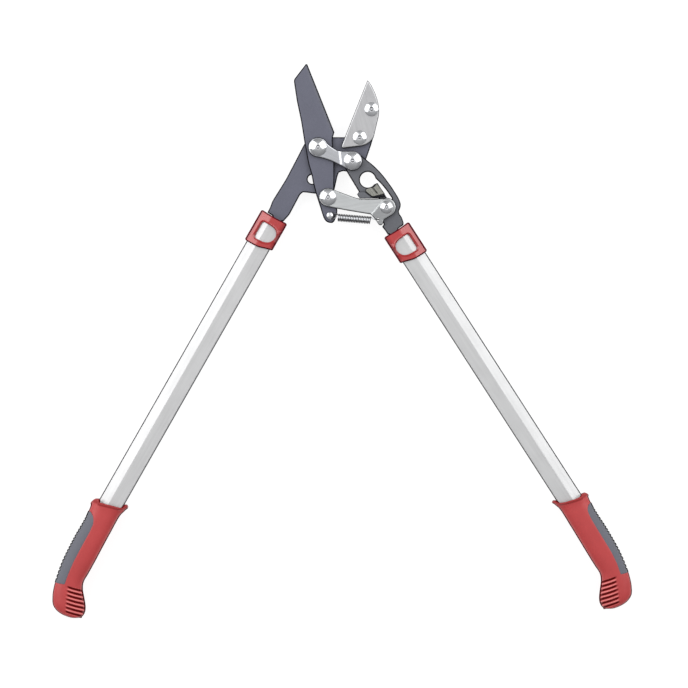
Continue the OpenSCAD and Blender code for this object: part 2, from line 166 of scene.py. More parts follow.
def inset(p, d):
    """Moves every side of a closed outline to its left by d (one distance, or one per side). A side that
    this would turn round shrinks to a point."""
    n = len(p)
    e = np.roll(p, -1, 0) - p
    e = e / np.linalg.norm(e, axis=1)[:, None]
    far = np.stack([-e[:, 1], e[:, 0]], 1) * np.broadcast_to(np.asarray(d, float), (n,))[:, None]
    gone = np.zeros(n, bool)
    q = p.copy()
    for _ in range(40):
        live = [i for i in range(n) if not gone[i]]
        for k in range(len(live)):
            i, j = live[k - 1], live[k]
            det = e[i, 0] * e[j, 1] - e[i, 1] * e[j, 0]
            start, end = p[j] + far[j], p[(i + 1) % n] + far[i]
            if abs(det) < 0.03:
                x = (start + end) / 2
            else:
                w = start - end
                x = end + e[i] * (w[0] * e[j, 1] - w[1] * e[j, 0]) / det
            v = (i + 1) % n
            while True:
                q[v] = x
                if v == j:
                    break
                v = (v + 1) % n
        bad = (np.sum((np.roll(q, -1, 0) - q) * e, 1) < 1e-6) & ~gone
        if not bad.any() or np.sum(~gone & ~bad) < 3:
            break
        gone |= bad
    return q


def inside(p, q):
    """Which points q lie inside the closed outline p."""
    res = np.zeros(len(q), bool)
    n = len(p)
    for i in range(n):
        a, b = p[i], p[(i + 1) % n]
        if a[1] == b[1]:
            continue
        cond = (a[1] > q[:, 1]) != (b[1] > q[:, 1])
        x = a[0] + (q[:, 1] - a[1]) / (b[1] - a[1]) * (b[0] - a[0])
        res ^= cond & (q[:, 0] < x)
    return res


def filling(outer, holes, step, margin, box=None):
    """Even points inside an outline, clear of its sides."""
    lo, hi = outer.min(0), outer.max(0)
    if box is not None:
        lo, hi = np.maximum(lo, box[0]), np.minimum(hi, box[1])
    xs = np.arange(lo[0] + step / 2, hi[0], step)
    ys = np.arange(lo[1] + step / 2, hi[1], step * 0.866)
    q = np.array([(x + (step / 2 if j % 2 else 0), y) for j, y in enumerate(ys) for x in xs])
    if len(q) == 0:
        return q.reshape(0, 2)
    keep = inside(outer, q)
    for h in holes:
        keep &= ~inside(h, q)
    q = q[keep]
    edge = np.concatenate([densified(x, step * 0.5) for x in [outer, *holes]])
    near = np.array([np.min(np.sum((edge - x) ** 2, 1)) for x in q]) if len(q) else np.zeros(0)
    return q[near > margin * margin]


# ---------------------------------------------------------------------------
# Mesh making
# ---------------------------------------------------------------------------
class Shape:
    """Vertices in mm, faces, an edge mark for each vertex that the materials turn into painted shade (cut edges,
    recesses, grooves; below nought, a painted highlight), and, where that differs, the mark for the trim.
    """

    def __init__(self):
        self.v, self.f, self.e = [], [], []
        self.trim = None

    def add(self, xyz, edge=0.0):
        base = len(self.v)
        xyz = np.asarray(xyz, float).reshape(-1, 3)
        self.v.extend(map(tuple, xyz))
        e = np.broadcast_to(np.asarray(edge, float), (len(xyz),))
        self.e.extend(float(x) for x in e)
        return base

    def join(self, other):
        base = len(self.v)
        self.v += other.v
        self.e += other.e
        self.f += [tuple(base + i for i in f) for f in other.f]
        return self


def edge_rings(t, bottom, top, draft=0.0, rim=None):
    """Inset, height and edge mark of each ring round a stamped plate: a small arris below, a wall that
    leans in by draft, a chamfer top wide, and, with rim, a bright shallow chamfer (width, height) inside it."""
    # the edge mark, 1 on the arris, the wall and the chamfer, turns them into painted shade along the cut edges
    rings = [(bottom, 0.0, 0.0), (bottom - 0.03, 0.03, 1.0), (0.0, bottom, 1.0)]
    drop = 0.0 if rim is None else rim[1]
    rings += [(draft, t - drop - top * 0.9, 1.0), (draft + top - 0.03, t - drop - 0.03, 1.0), (draft + top, t - drop, 0.0)]
    if rim is not None:
        rings += [(draft + top + rim[0], t, 0.0)]
    return rings


def sheet(outer, holes, rings, place, lines=(), points=None, seam=None, hole_mark=1.0):
    """A plate, flat or bent: an outline with holes, a stack of rings up its sides, and two caps.
    place turns (a, b, height) into mm. seam marks sides of the outline that stay open."""
    sh = Shape()
    loops = [(np.asarray(outer, float), seam)] + [(turned_cw(h), None) for h in holes]
    # where a hole comes close to the rim, both get a narrower chamfer
    deepest = max(r[0] for r in rings)
    rim = loops[0][0]
    rim = (rim + np.roll(rim, -1, 0)) / 2
    narrow = [np.ones(len(rim))]
    for loop, _ in loops[1:]:
        gap = np.hypot(*(loop[:, None] - rim[None]).transpose(2, 0, 1)).min(0) - 0.3
        narrow[0] = np.minimum(narrow[0], np.clip(0.6 * gap / deepest, 0.2, 1.0))
        narrow.append(float(np.clip(0.4 * gap.min() / deepest, 0.05, 1.0)))
    first, shapes = [], []
    for ins, h, mark in rings:
        row, qs = [], []
        for l, (loop, sm) in enumerate(loops):
            q = inset(loop, ins * narrow[l] if sm is None else np.where(sm, 0.0, ins * narrow[l]))
            row.append(sh.add(place(q[:, 0], q[:, 1], np.full(len(q), h)), mark * (hole_mark if l else 1.0)))
            qs.append(q)
        first.append(row)
        shapes.append(qs)
    for r in range(len(rings) - 1):
        for l, (loop, sm) in enumerate(loops):
            n = len(loop)
            for i in range(n):
                if sm is not None and sm[i]:
                    continue
                j = (i + 1) % n
                a, b = first[r][l], first[r + 1][l]
                sh.f.append((a + i, a + j, b + j, b + i))
    for which in (0, len(rings) - 1):
        h = rings[which][1]
        co, ed, src = [], [], []
        bounds = []
        for l, q in enumerate(shapes[which]):
            own = [i for i in range(len(q)) if np.hypot(*(q[i] - q[i - 1])) > 1e-5]
            base, n = len(co), len(own)
            co += [q[i] for i in own]
            ed += [(base + i, base + (i + 1) % n) for i in range(n)]
            src += [first[which][l] + i for i in own]
            bounds.append(q[own])
        limits = [inset(q, 0.3) for q in bounds]

        def clear(q):
            ok = inside(limits[0], q)
            for h in limits[1:]:
                ok &= ~inside(h, q)
            return ok

        for ln in lines:
            ln = np.asarray(ln, float)
            ok = clear(ln)
            base = len(co)
            co += list(ln[ok])
            at = np.cumsum(ok) - 1
            ed += [(base + at[i], base + at[i + 1]) for i in range(len(ln) - 1) if ok[i] and ok[i + 1]]
            src += [None] * int(ok.sum())
        if points is not None and len(points):
            kept = points[clear(points)]
            co += list(kept)
            src += [None] * len(kept)
        ed = [(int(i), int(j)) for i, j in ed]
        vo, _, fo, ov, _, _ = delaunay_2d_cdt([Vector((float(c[0]), float(c[1]))) for c in co], ed, [], 0, 1e-6, True)
        mid = np.array([np.mean([vo[k] for k in f], 0) for f in fo])
        keep = inside(bounds[0], mid)
        # no slivers along straight sides
        for k, f in enumerate(fo):
            x, y, z = (np.array(vo[i]) for i in f)
            long = max(np.hypot(*(y - x)), np.hypot(*(z - y)), np.hypot(*(x - z)))
            if abs((y - x)[0] * (z - x)[1] - (y - x)[1] * (z - x)[0]) < 2e-4 * long:
                keep[k] = False
        for q in bounds[1:]:
            keep &= ~inside(q, mid)
        index = {}
        for f in (f for f, k in zip(fo, keep) if k):
            tri = []
            for k in f:
                if k not in index:
                    known = [src[o] for o in ov[k] if src[o] is not None]
                    if known:
                        index[k] = known[0]
                    else:
                        index[k] = sh.add(place(np.array([vo[k].x]), np.array([vo[k].y]), np.array([h])), 0.0)
                tri.append(index[k])
            sh.f.append(tuple(tri) if which else tuple(tri[::-1]))
    return sh


def grid(xyz, edge=0.0, close_u=False, close_v=False, poles=(False, False)):
    """A quad grid of rows x columns of points in mm; a pole closes the first or last row to a point."""
    sh = Shape()
    m, n = xyz.shape[:2]
    e = np.broadcast_to(np.asarray(edge, float), (m, n)).reshape(-1)
    sh.add(xyz.reshape(-1, 3), e)
    for i in range(m if close_u else m - 1):
        for j in range(n if close_v else n - 1):
            a, b = i * n, ((i + 1) % m) * n
            sh.f.append((a + j, a + (j + 1) % n, b + (j + 1) % n, b + j))
    for end, want in ((0, poles[0]), (m - 1, poles[1])):
        if want:
            k = sh.add(xyz[end].mean(0), e[end * n])
            for j in range(n):
                a, b = end * n + j, end * n + (j + 1) % n
                sh.f.append((b, a, k) if end == 0 else (a, b, k))
    return sh


def lathe(c, rings, n=72, closed=False):
    """Turned part about a vertical axis. A ring is (radius or radius of the angle, z, edge mark)."""
    t = np.arange(n) * 2 * math.pi / n
    rows, marks = [], []
    for ring in rings:
        r, z = ring[0], ring[1]
        rr = r(t) if callable(r) else np.full(n, float(r))
        rows.append(np.stack([c[0] + rr * np.cos(t), c[1] + rr * np.sin(t), np.full(n, float(z))], -1))
        marks.append(np.full(n, ring[2] if len(ring) > 2 else 0.0))
    return grid(np.array(rows), np.array(marks), close_u=closed, close_v=True, poles=(not closed, not closed))


def hexagon(rc, turn=30.0, limit=None):
    def r(t):
        a = np.mod(np.degrees(t) - turn, 60.0) - 30.0
        q = rc * math.cos(math.radians(30)) / np.cos(np.radians(a))
        return q if limit is None else np.minimum(q, limit)
    return r


def piece(name, sh, body, nodes, material, weighted=True, sharp=None, trim=None, trim_from=0.7, ride=True):
    """A piece from a shape; faces marked at least trim_from on average wear the trim material."""
    me = bpy.data.meshes.new(name)
    me.from_pydata([tuple(x) for x in metres(sh.v)], [], sh.f)
    me.attributes.new("edge", "FLOAT", "POINT").data.foreach_set("value", np.array(sh.e, np.float32))
    me.attributes.new("trim", "FLOAT", "POINT").data.foreach_set("value", np.array(sh.e if sh.trim is None else sh.trim, np.float32))
    bm = bmesh.new()
    bm.from_mesh(me)
    bmesh.ops.remove_doubles(bm, verts=bm.verts, dist=2e-7)
    bmesh.ops.dissolve_degenerate(bm, dist=1e-7, edges=bm.edges)
    bmesh.ops.recalc_face_normals(bm, faces=bm.faces)
    # every closed shell faces outwards
    todo = set(bm.faces)
    while todo:
        shell, front = set(), [todo.pop()]
        while front:
            f = front.pop()
            shell.add(f)
            for e in f.edges:
                for g in e.link_faces:
                    if g in todo:
                        todo.discard(g)
                        front.append(g)
        c = next(iter(shell)).verts[0].co
        volume = 0.0
        for f in shell:
            q = [v.co - c for v in f.verts]
            for k in range(1, len(q) - 1):
                volume += q[0].dot(q[k].cross(q[k + 1]))
        if volume < 0:
            bmesh.ops.reverse_faces(bm, faces=list(shell))
    bm.to_mesh(me)
    bm.free()
    me.polygons.foreach_set("use_smooth", np.ones(len(me.polygons), bool))
    if sharp is not None:
        me.set_sharp_from_angle(angle=math.radians(sharp))
    me.materials.append(material)
    if trim is not None:
        me.materials.append(trim)
        mark = np.zeros(len(me.vertices), np.float32)
        me.attributes["trim"].data.foreach_get("value", mark)
        for f in me.polygons:
            f.material_index = int(np.mean(mark[list(f.vertices)]) >= trim_from)
    me.attributes.remove(me.attributes["trim"])
    me.update()
    ob = bpy.data.objects.new(name, me)
    bpy.context.scene.collection.objects.link(ob)
    if weighted:
        w = ob.modifiers.new("weighted", "WEIGHTED_NORMAL")
        w.keep_sharp = True
        w.weight = 100
        w.mode = "FACE_AREA"
    if ride:
        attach(ob, body)
    if nodes:
        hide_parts(*nodes)
    return ob


# ---------------------------------------------------------------------------
# Materials
# ---------------------------------------------------------------------------
def srgb(r, g, b):
    out = []
    for c in (r, g, b):
        c = c / 255.0
        out.append(c / 12.92 if c <= 0.04045 else ((c + 0.055) / 1.055) ** 2.4)
    return tuple(out) + (1.0,)


class Mat:
    """A principled material whose colour, roughness and bump come from layered noise."""

    def __init__(self, name):
        self.m = bpy.data.materials.new(name)
        self.m.use_nodes = True
        self.t = self.m.node_tree
        self.b = self.t.nodes["Principled BSDF"]
        self.coord = self.t.nodes.new("ShaderNodeTexCoord").outputs["Object"]
        self.height = None

    def set(self, **kw):
        for k, v in kw.items():
            self.b.inputs[k.replace("_", " ")].default_value = v
        return self

    def node(self, kind, **kw):
        n = self.t.nodes.new(kind)
        for k, v in kw.items():
            setattr(n, k, v)
        return n

    def link(self, a, b):
        self.t.links.new(a, b)

    def noise(self, scale, detail=4.0, rough=0.55, stretch=(1, 1, 1), turn=0.0, distortion=0.0):
        """Noise in object space; scale is in features per metre, stretch divides it along an axis turned by turn."""
        r = self.node("ShaderNodeVectorRotate", rotation_type="Z_AXIS")
        r.inputs["Angle"].default_value = -math.radians(turn)
        self.link(self.coord, r.inputs["Vector"])
        v = self.node("ShaderNodeVectorMath", operation="MULTIPLY")
        self.link(r.outputs["Vector"], v.inputs[0])
        v.inputs[1].default_value = tuple(1.0 / s for s in stretch)
        n = self.node("ShaderNodeTexNoise")
        n.inputs["Scale"].default_value = scale
        n.inputs["Detail"].default_value = detail
        n.inputs["Roughness"].default_value = rough
        n.inputs["Distortion"].default_value = distortion
        self.link(v.outputs["Vector"], n.inputs["Vector"])
        return n.outputs["Fac"]

    def ramp(self, fac, stops):
        r = self.node("ShaderNodeValToRGB")
        while len(r.color_ramp.elements) < len(stops):
            r.color_ramp.elements.new(0.5)
        for el, (p, c) in zip(r.color_ramp.elements, stops):
            el.position = p
            el.color = c if len(c) == 4 else tuple(c) + (1.0,)
        self.link(fac, r.inputs["Fac"])
        return r.outputs["Color"]

    def range(self, fac, a, b, lo, hi):
        r = self.node("ShaderNodeMapRange")
        r.inputs["From Min"].default_value = a
        r.inputs["From Max"].default_value = b
        r.inputs["To Min"].default_value = lo
        r.inputs["To Max"].default_value = hi
        self.link(fac, r.inputs["Value"])
        return r.outputs["Result"]

    def math(self, op, a, b):
        n = self.node("ShaderNodeMath", operation=op)
        for i, x in enumerate((a, b)):
            if isinstance(x, (int, float)):
                n.inputs[i].default_value = x
            else:
                self.link(x, n.inputs[i])
        return n.outputs["Value"]

    def mix(self, fac, a, b, blend="MIX"):
        n = self.node("ShaderNodeMix", data_type="RGBA", blend_type=blend)
        for sock, x in ((n.inputs["Factor"], fac), (n.inputs["A"], a), (n.inputs["B"], b)):
            if isinstance(x, (int, float)):
                sock.default_value = x
            elif isinstance(x, tuple):
                sock.default_value = x if len(x) == 4 else tuple(x) + (1.0,)
            else:
                self.link(x, sock)
        return n.outputs["Result"]

    def edge(self):
        n = self.node("ShaderNodeAttribute", attribute_name="edge")
        return n.outputs["Fac"]

    def colour(self, sock):
        self.link(sock, self.b.inputs["Base Color"])
        return self

    def rough(self, sock):
        self.link(sock, self.b.inputs["Roughness"])
        return self

    def bump(self, sock, strength, distance):
        n = self.node("ShaderNodeBump")
        n.inputs["Strength"].default_value = strength
        n.inputs["Distance"].default_value = distance
        self.link(sock, n.inputs["Height"])
        if self.height is not None:
            self.link(self.height, n.inputs["Normal"])
        self.height = n.outputs["Normal"]
        self.link(self.height, self.b.inputs["Normal"])
        return self


def scaled(c, k):
    return tuple(min(1.0, x * k) for x in c[:3]) + (1.0,)


def coated(name, col, dark, rough=0.44):
    """Sprayed non-stick coating: fine orange peel, faint rub marks, painted shade where the edge mark is set (cut
    edges, a shadow beside the spring pin, the lever tab's shaded wedge), a darker ground bevel on the blade, and worn
    specks on the edges.
    """
    m = Mat(name).set(Metallic=0.0, IOR=1.45)
    fine = m.noise(900, 3, 0.6)
    cloud = m.noise(38, 4, 0.6)
    rub = m.noise(60, 3, 0.5, stretch=(1, 9, 1), turn=20)
    base = m.ramp(cloud, [(0.25, scaled(col, 0.90)), (0.75, scaled(col, 1.09))])
    speck = m.ramp(fine, [(0.36, scaled(col, 0.80)), (0.62, scaled(col, 1.12))])
    base = m.mix(0.45, base, speck)
    e = m.edge()
    wear = m.noise(420, 5, 0.7)
    worn = m.math("MULTIPLY", e, m.range(wear, 0.60, 0.72, 0.0, 0.55))
    base = m.mix(m.range(e, 0.0, 1.0, 0.0, 0.92), base, dark)
    base = m.mix(worn, base, scaled(col, 1.9))
    m.colour(base)
    m.rough(m.range(m.math("ADD", rub, cloud), 0.6, 1.4, rough - 0.07, rough + 0.09))
    m.bump(fine, 0.22, 0.00012)
    m.bump(rub, 0.06, 0.0002)
    return m.m


def brushed(name, col, rough, turn, grain=1400.0, stretch=40.0, dark_edge=None, metallic=1.0, scratches=True):
    """Ground or rolled bright steel: fine lengthwise grain, cloudy roughness, a few finer scratches."""
    m = Mat(name).set(Metallic=metallic, IOR=2.2)
    lines = m.noise(grain, 3, 0.6, stretch=(1, stretch, 1), turn=turn)
    broad = m.noise(grain * 0.22, 2, 0.5, stretch=(1, stretch * 0.6, 1), turn=turn)
    cloud = m.noise(30, 4, 0.6)
    base = m.ramp(m.math("ADD", m.math("MULTIPLY", lines, 0.6), m.math("MULTIPLY", broad, 0.4)),
                  [(0.30, scaled(col, 0.86)), (0.70, scaled(col, 1.10))])
    base = m.mix(0.35, base, m.ramp(cloud, [(0.3, scaled(col, 0.92)), (0.7, scaled(col, 1.06))]))
    # dark_edge is mixed in where the edge mark is set: painted shade on the cut edges of the anvil and the strap; on
    # the link it darkens the raised end past the crease
    if dark_edge is not None:
        base = m.mix(m.range(m.edge(), 0.0, 1.0, 0.0, 0.8), base, dark_edge)
    m.colour(base)
    m.rough(m.range(m.math("ADD", lines, cloud), 0.6, 1.4, max(0.05, rough - 0.06), rough + 0.08))
    m.bump(lines, 0.10, 0.00006)
    if scratches:
        m.bump(m.noise(240, 2, 0.4, stretch=(1, 30, 1), turn=turn + 63), 0.05, 0.00006)
    return m.m


def polished(name, col, rough=0.13, dark=None):
    """Bright plated fasteners: soft haze, tiny pits, and painted shade in the recess, under the rim and wherever else
    the edge mark is set.
    """
    m = Mat(name).set(Metallic=1.0, IOR=2.4)
    haze = m.noise(170, 4, 0.6)
    pits = m.noise(1500, 3, 0.6)
    base = m.ramp(haze, [(0.3, scaled(col, 0.90)), (0.7, scaled(col, 1.05))])
    if dark is not None:
        base = m.mix(m.range(m.edge(), 0.0, 1.0, 0.0, 0.85), base, dark)
    m.colour(base)
    m.rough(m.range(haze, 0.3, 0.7, max(0.04, rough - 0.04), rough + 0.07))
    m.bump(pits, 0.05, 0.00005)
    m.bump(haze, 0.05, 0.0003)
    return m.m


def moulded(name, col, dark, rough=0.36, coat=0.0, grain=1600.0, bump=0.10, ior=1.5, spec=0.5, light=None):
    """Moulded plastic: fine spark texture, slow colour drift, painted shade in grooves and at the parting edges, and,
    with light, a painted highlight where the mark is below nought."""
    m = Mat(name).set(Metallic=0.0, IOR=ior, Coat_Weight=coat, Coat_Roughness=0.22, Specular_IOR_Level=spec)
    fine = m.noise(grain, 3, 0.6)
    cloud = m.noise(45, 3, 0.5)
    flow = m.noise(120, 2, 0.5, stretch=(1, 5, 1), turn=30)
    base = m.ramp(m.math("ADD", m.math("MULTIPLY", cloud, 0.6), m.math("MULTIPLY", flow, 0.4)),
                  [(0.3, scaled(col, 0.92)), (0.7, scaled(col, 1.08))])
    base = m.mix(0.25, base, m.ramp(fine, [(0.35, scaled(col, 0.86)), (0.65, scaled(col, 1.1))]))
    base = m.mix(m.range(m.edge(), 0.0, 1.0, 0.0, 0.92), base, dark)
    if light is not None:
        base = m.mix(m.range(m.edge(), -1.0, 0.0, 1.0, 0.0), base, light)
        m.link(m.range(m.edge(), 0.0, 0.8, spec, 0.04), m.b.inputs["Specular IOR Level"])
    m.colour(base)
    m.rough(m.range(m.math("ADD", cloud, fine), 0.6, 1.4, rough - 0.07, rough + 0.1))
    m.bump(fine, bump, 0.0001)
    m.bump(flow, 0.04, 0.0003)
    return m.m


def soft_rubber(name, col, dark, rough=0.62):
    """Soft over-moulding: fine matt stipple, a dusty sheen, and painted shade where the edge mark is set."""
    m = Mat(name).set(Metallic=0.0, IOR=1.48, Sheen_Weight=0.12, Sheen_Roughness=0.5)
    stip = m.noise(2100, 2, 0.5)
    cloud = m.noise(55, 4, 0.6)
    base = m.ramp(cloud, [(0.28, scaled(col, 0.90)), (0.72, scaled(col, 1.10))])
    base = m.mix(0.4, base, m.ramp(stip, [(0.36, scaled(col, 0.82)), (0.64, scaled(col, 1.12))]))
    base = m.mix(m.range(m.edge(), 0.0, 1.0, 0.0, 0.9), base, dark)
    m.colour(base)
    m.rough(m.range(m.math("ADD", cloud, stip), 0.6, 1.4, rough - 0.08, rough + 0.1))
    m.bump(stip, 0.25, 0.00016)
    return m.m


def matt(name, col, worn=0.0, spec=0.06):
    """Painted shade on cut edges, walls, seams and grooves: dark and matt with a fine tooth, and a few worn specks."""
    m = Mat(name).set(Metallic=0.0, IOR=1.4, Specular_IOR_Level=spec)
    fine = m.noise(1300, 3, 0.6)
    cloud = m.noise(70, 3, 0.6)
    base = m.mix(0.4, m.ramp(cloud, [(0.3, scaled(col, 0.8)), (0.7, scaled(col, 1.2))]), m.ramp(fine, [(0.35, scaled(col, 0.7)), (0.65, scaled(col, 1.3))]))
    if worn > 0:
        base = m.mix(m.range(m.noise(420, 5, 0.7), 0.64, 0.74, 0.0, worn), base, (0.16, 0.16, 0.17, 1))
    m.colour(base)
    m.rough(m.range(cloud, 0.3, 0.7, 0.82, 0.94))
    m.bump(fine, 0.2, 0.0001)
    return m.m


COATED = coated("coated_steel", (0.107, 0.110, 0.145, 1), (0.010, 0.010, 0.013, 1))
LEVER = coated("lever_steel", (0.104, 0.108, 0.122, 1), (0.006, 0.006, 0.008, 1), 0.46)
ANVIL = brushed("anvil_steel", (0.50, 0.50, 0.51, 1), 0.42, 14.0, dark_edge=(0.42, 0.42, 0.43, 1))
STRAP = brushed("bright_steel", (0.52, 0.53, 0.56, 1), 0.27, 69.0, dark_edge=(0.5, 0.5, 0.52, 1))
LINK = brushed("bright_steel_link", (0.55, 0.565, 0.57, 1), 0.36, 100.0, dark_edge=(0.10, 0.10, 0.11, 1))
CHROME = polished("fastener_steel", (0.71, 0.72, 0.74, 1), 0.17, dark=(0.10, 0.10, 0.11, 1))
ZINC = polished("fastener_zinc", (0.60, 0.61, 0.63, 1), 0.26, dark=(0.22, 0.22, 0.23, 1))
SPRING = polished("spring_steel", (0.60, 0.61, 0.63, 1), 0.22, dark=(0.04, 0.04, 0.045, 1))
BRONZE = polished("bronze", (0.48, 0.30, 0.12, 1), 0.32)
TUBE_L = brushed("tube_aluminium_left", (0.575, 0.575, 0.578, 1), 0.54, 60.3 + 90, grain=1100, stretch=60, scratches=False)
TUBE_R = brushed("tube_aluminium_right", (0.580, 0.582, 0.584, 1), 0.56, -57.2 + 90, grain=1100, stretch=60, scratches=False)
# light on the red moulding is the painted highlight colour for the grip's ridges
RED = moulded("red_plastic", (0.44, 0.046, 0.047, 1), (0.084, 0.0003, 0.0003, 1), 0.40, spec=0.40, light=(0.80, 0.22, 0.21, 1))
RED_FERRULE = moulded("red_ferrule", (0.37, 0.002, 0.003, 1), (0.080, 0.001, 0.005, 1), 0.30, coat=1.0, bump=0.04, ior=1.53)
PAD = soft_rubber("grey_pad", (0.114, 0.117, 0.142, 1), (0.014, 0.013, 0.018, 1))
BUMPER = soft_rubber("bumper_rubber", (0.225, 0.225, 0.200, 1), (0.02, 0.02, 0.018, 1), 0.55)
LINER = moulded("liner_plastic", (0.020, 0.020, 0.022, 1), (0.006, 0.006, 0.007, 1), 0.5)
# trim materials below: painted shade on cut edges, walls, seams and grooves
COATED_EDGE = matt("coated_edge", (0.011, 0.011, 0.014, 1), worn=0.4)
STEEL_EDGE = matt("steel_edge", (0.030, 0.030, 0.033, 1), worn=0.5)
TUBE_EDGE = matt("tube_edge", (0.045, 0.046, 0.049, 1))
RED_EDGE = matt("red_edge", (0.092, 0.003, 0.009, 1))
RED_SEAM = matt("red_seam", (0.090, 0.0006, 0.002, 1))
PAD_EDGE = matt("pad_edge", (0.013, 0.013, 0.016, 1))

# ---------------------------------------------------------------------------
# Head: plates
# ---------------------------------------------------------------------------
Z_ANVIL_LEVER = (-5.5, -0.5)
Z_BLADE = (0.5, 5.0)
Z_LEVER = (0.5, 6.0)


def flat(z0):
    return lambda a, b, h: np.stack([a, b, z0 + h], -1)


def tang(side, shoulder):
    """Outline points of the tang, from the outer shoulder round to the inner one."""
    pts = [(shoulder, 2.3), (50.0, 2.3), (50.0, -10.3), (shoulder, -10.3)]
    return [tuple(on_handle(side, s, u, 0.0)[:2]) for s, u in pts]


# anvil lever -------------------------------------------------------------
pts = [(-63.7, -81.2), (-60.2, -75.2), (-57.8, -67.6), (-40.8, -40.4), (-29, -18), (-17.6, 4.2), (-13.5, 10), (-8, 13.1),
       (33, 13.1), (36.5, 16), (60, 74), (63, 75.5), (66, 73.5), (71, 62), (73, 44), (69.2, 11.5), (60, -15),
       (57, -22), (51.5, -27.5), (44, -30.6), (35.5, -30), (31.2, -29.2), (26, -31.2), (24.2, -35.6), (20.6, -52.5),
       (19, -56.2), (15, -58), (-2, -58), (-14, -56.2), (-18.9, -55.9), (-22.4, -58.6), (-35.8, -84), (-40, -88.6),
       (-43.6, -92.7)] + tang("left", -20.2)[::-1]
outer = densified(rounded(turned_ccw(pts), 1.4), 3.0)
holes = [circle(P1, 5.05), circle(Q1, 5.05), circle((-7.4, -39.6), 5.6), circle((66.75, 47.5), 3.05, 40), circle((52, 12.25), 3.05, 40)]
sh = sheet(outer, holes, edge_rings(5.0, 0.6, 1.05, 0.45), flat(-5.5), points=filling(outer, holes, 5.0, 2.4))
piece("anvil_lever_plate", sh, "anvil_side", ["anvil_lever"], COATED, sharp=25, trim=COATED_EDGE)

# anvil plate -------------------------------------------------------------
pts = [(61.7, 84.2), (29.2, 2.2), (29.4, 0.1), (30.9, -1.3), (44.5, 0.4), (57.5, 2), (65.2, 6.5), (69.2, 11.5),
       (76.6, 42.8), (75.4, 55.5), (72.1, 66.4), (66.4, 78.5)]
outer = densified(rounded(turned_ccw(pts), 1.3, radii={0: 0.35}), 3.0)
holes = [circle((66.75, 47.5), 3.05, 40), circle((52, 12.25), 3.05, 40)]
sh = sheet(outer, holes, edge_rings(6.0, 0.5, 0.5, 0.35, (0.7, 0.3)), flat(-0.5), points=filling(outer, holes, 4.0, 2.6))
piece("anvil_plate_body", sh, "anvil_side", ["anvil_plate"], ANVIL, sharp=15, trim=STEEL_EDGE)

# blade -------------------------------------------------------------------
pts = [(20.45, 18.8), (-12.85, 102.5), (-13.8, 104.2), (-15.4, 104.2), (-29.4, 86), (-30.2, 84), (-30.2, 82), (-26.6, 58), (-21.4, 33.5),
       (-16.8, 4.4), (-12, -22.5), (-8.4, -33), (-6.2, -45), (-2.8, -58.2), (2.4, -74), (4.2, -80), (6.8, -88.2), (9.6, -92.4), (13.6, -94.4),
       (18, -94.4), (20.4, -92.4), (24, -83.2), (24.2, -77.5), (23, -72.5), (19.9, -51.2), (20.5, -38.8), (20.4, -16.2),
       (18.2, 8.8), (18.6, 13.1)]
ea, eb = np.array(pts[0], float), np.array(pts[1], float)
ed = (eb - ea) / np.hypot(*(eb - ea))
en = np.array([-ed[1], ed[0]])
outer = densified(rounded(turned_ccw(pts), 1.2, radii={0: 0.9}), 1.6)
GRIND = 4.0


def blade_place(a, b, h):
    d = (a - ea[0]) * en[0] + (b - ea[1]) * en[1]
    half = 2.25 - 2.1 * np.clip(1 - d / GRIND, 0, 1)
    return np.stack([a, b, 2.75 + (h - 2.25) / 2.25 * half], -1)


g0, g1 = ea + en * GRIND + ed * 1.0, ea + en * GRIND + ed * 86.5
line = [g0 + (g1 - g0) * k / 40 for k in range(41)]
holes = [circle(P1, 7.0), circle(P2, 4.05), circle(P3, 2.55, 32)]
fill = filling(outer, holes, 4.0, 2.6)
fill = np.concatenate([fill[np.hypot(*(fill - P3).T) > 9.0], filling(np.array(circle(P3, 8.6)), holes, 0.7, 0.3)])
sh = sheet(outer, holes, edge_rings(4.5, 0.6, 1.05, 0.45), blade_place, lines=[line], points=fill)
co = np.array(sh.v)
d = (co[:, 0] - ea[0]) * en[0] + (co[:, 1] - ea[1]) * en[1]
sh.trim = list(sh.e)
sh.e = np.where(d < GRIND - 0.5, np.clip(np.array(sh.e) + 0.35, 0, 1), sh.e)
# painted shadow of the spring's loop on the blade beside the pin
r = np.hypot((co[:, 0] - P3[0] - 2.2) / 5.6, (co[:, 1] - P3[1] + 0.9) / 4.6)
sh.e = list(np.where(co[:, 2] > 4.9, np.maximum(sh.e, (1 - smooth(0.85, 1.1, r)) * smooth(0.8, 2.4, co[:, 0] - P3[0])), sh.e))
piece("blade_body", sh, "blade", ["blade"], COATED, sharp=25, trim=COATED_EDGE)

# drive lever -------------------------------------------------------------
pts = [(52.2, -8.2), (59.9, -15), (71.8, -24.4), (82.4, -36.2), (92.4, -50), (101.1, -63.8), (103.6, -71.2), (102.6, -76.2),
       (101, -79.4), (101.5, -83), (104.8, -87.2), (107, -94.5), (106.7, -96.9)] + tang("right", -20.2) + [
       (87.3, -109.5), (84.4, -104.6), (79.9, -99.2),
       (82, -96.2), (79.5, -90), (76.5, -84.5), (74.6, -79), (74.6, -72), (77, -66), (76, -63.7), (52, -63.7),
       (48.6, -58.8), (51, -55.6), (35.5, -30), (31.4, -21.2), (30.7, -17), (33, -10), (38, -5.8), (44, -4.7)]
outer = densified(rounded(turned_ccw(pts), 1.3), 3.0)
key = arc((62, -40.4), 9.75, 11.65, 322.5, 56) + [(74.2, -44.2), (84.4, -60.2), (85.4, -62.2), (89.6, -65.6), (91.6, -65.4),
                                                 (92.2, -63.6), (87.8, -57), (80.6, -47.4), (72.3, -39.2)]
holes = [densified(rounded(key, 0.9), 3.0), circle(Q1, 7.0), circle(Q2, 4.05, 40)]
sh = sheet(outer, holes, edge_rings(5.5, 0.6, 1.05, 0.45), flat(0.5), points=filling(outer, holes, 5.0, 2.4))
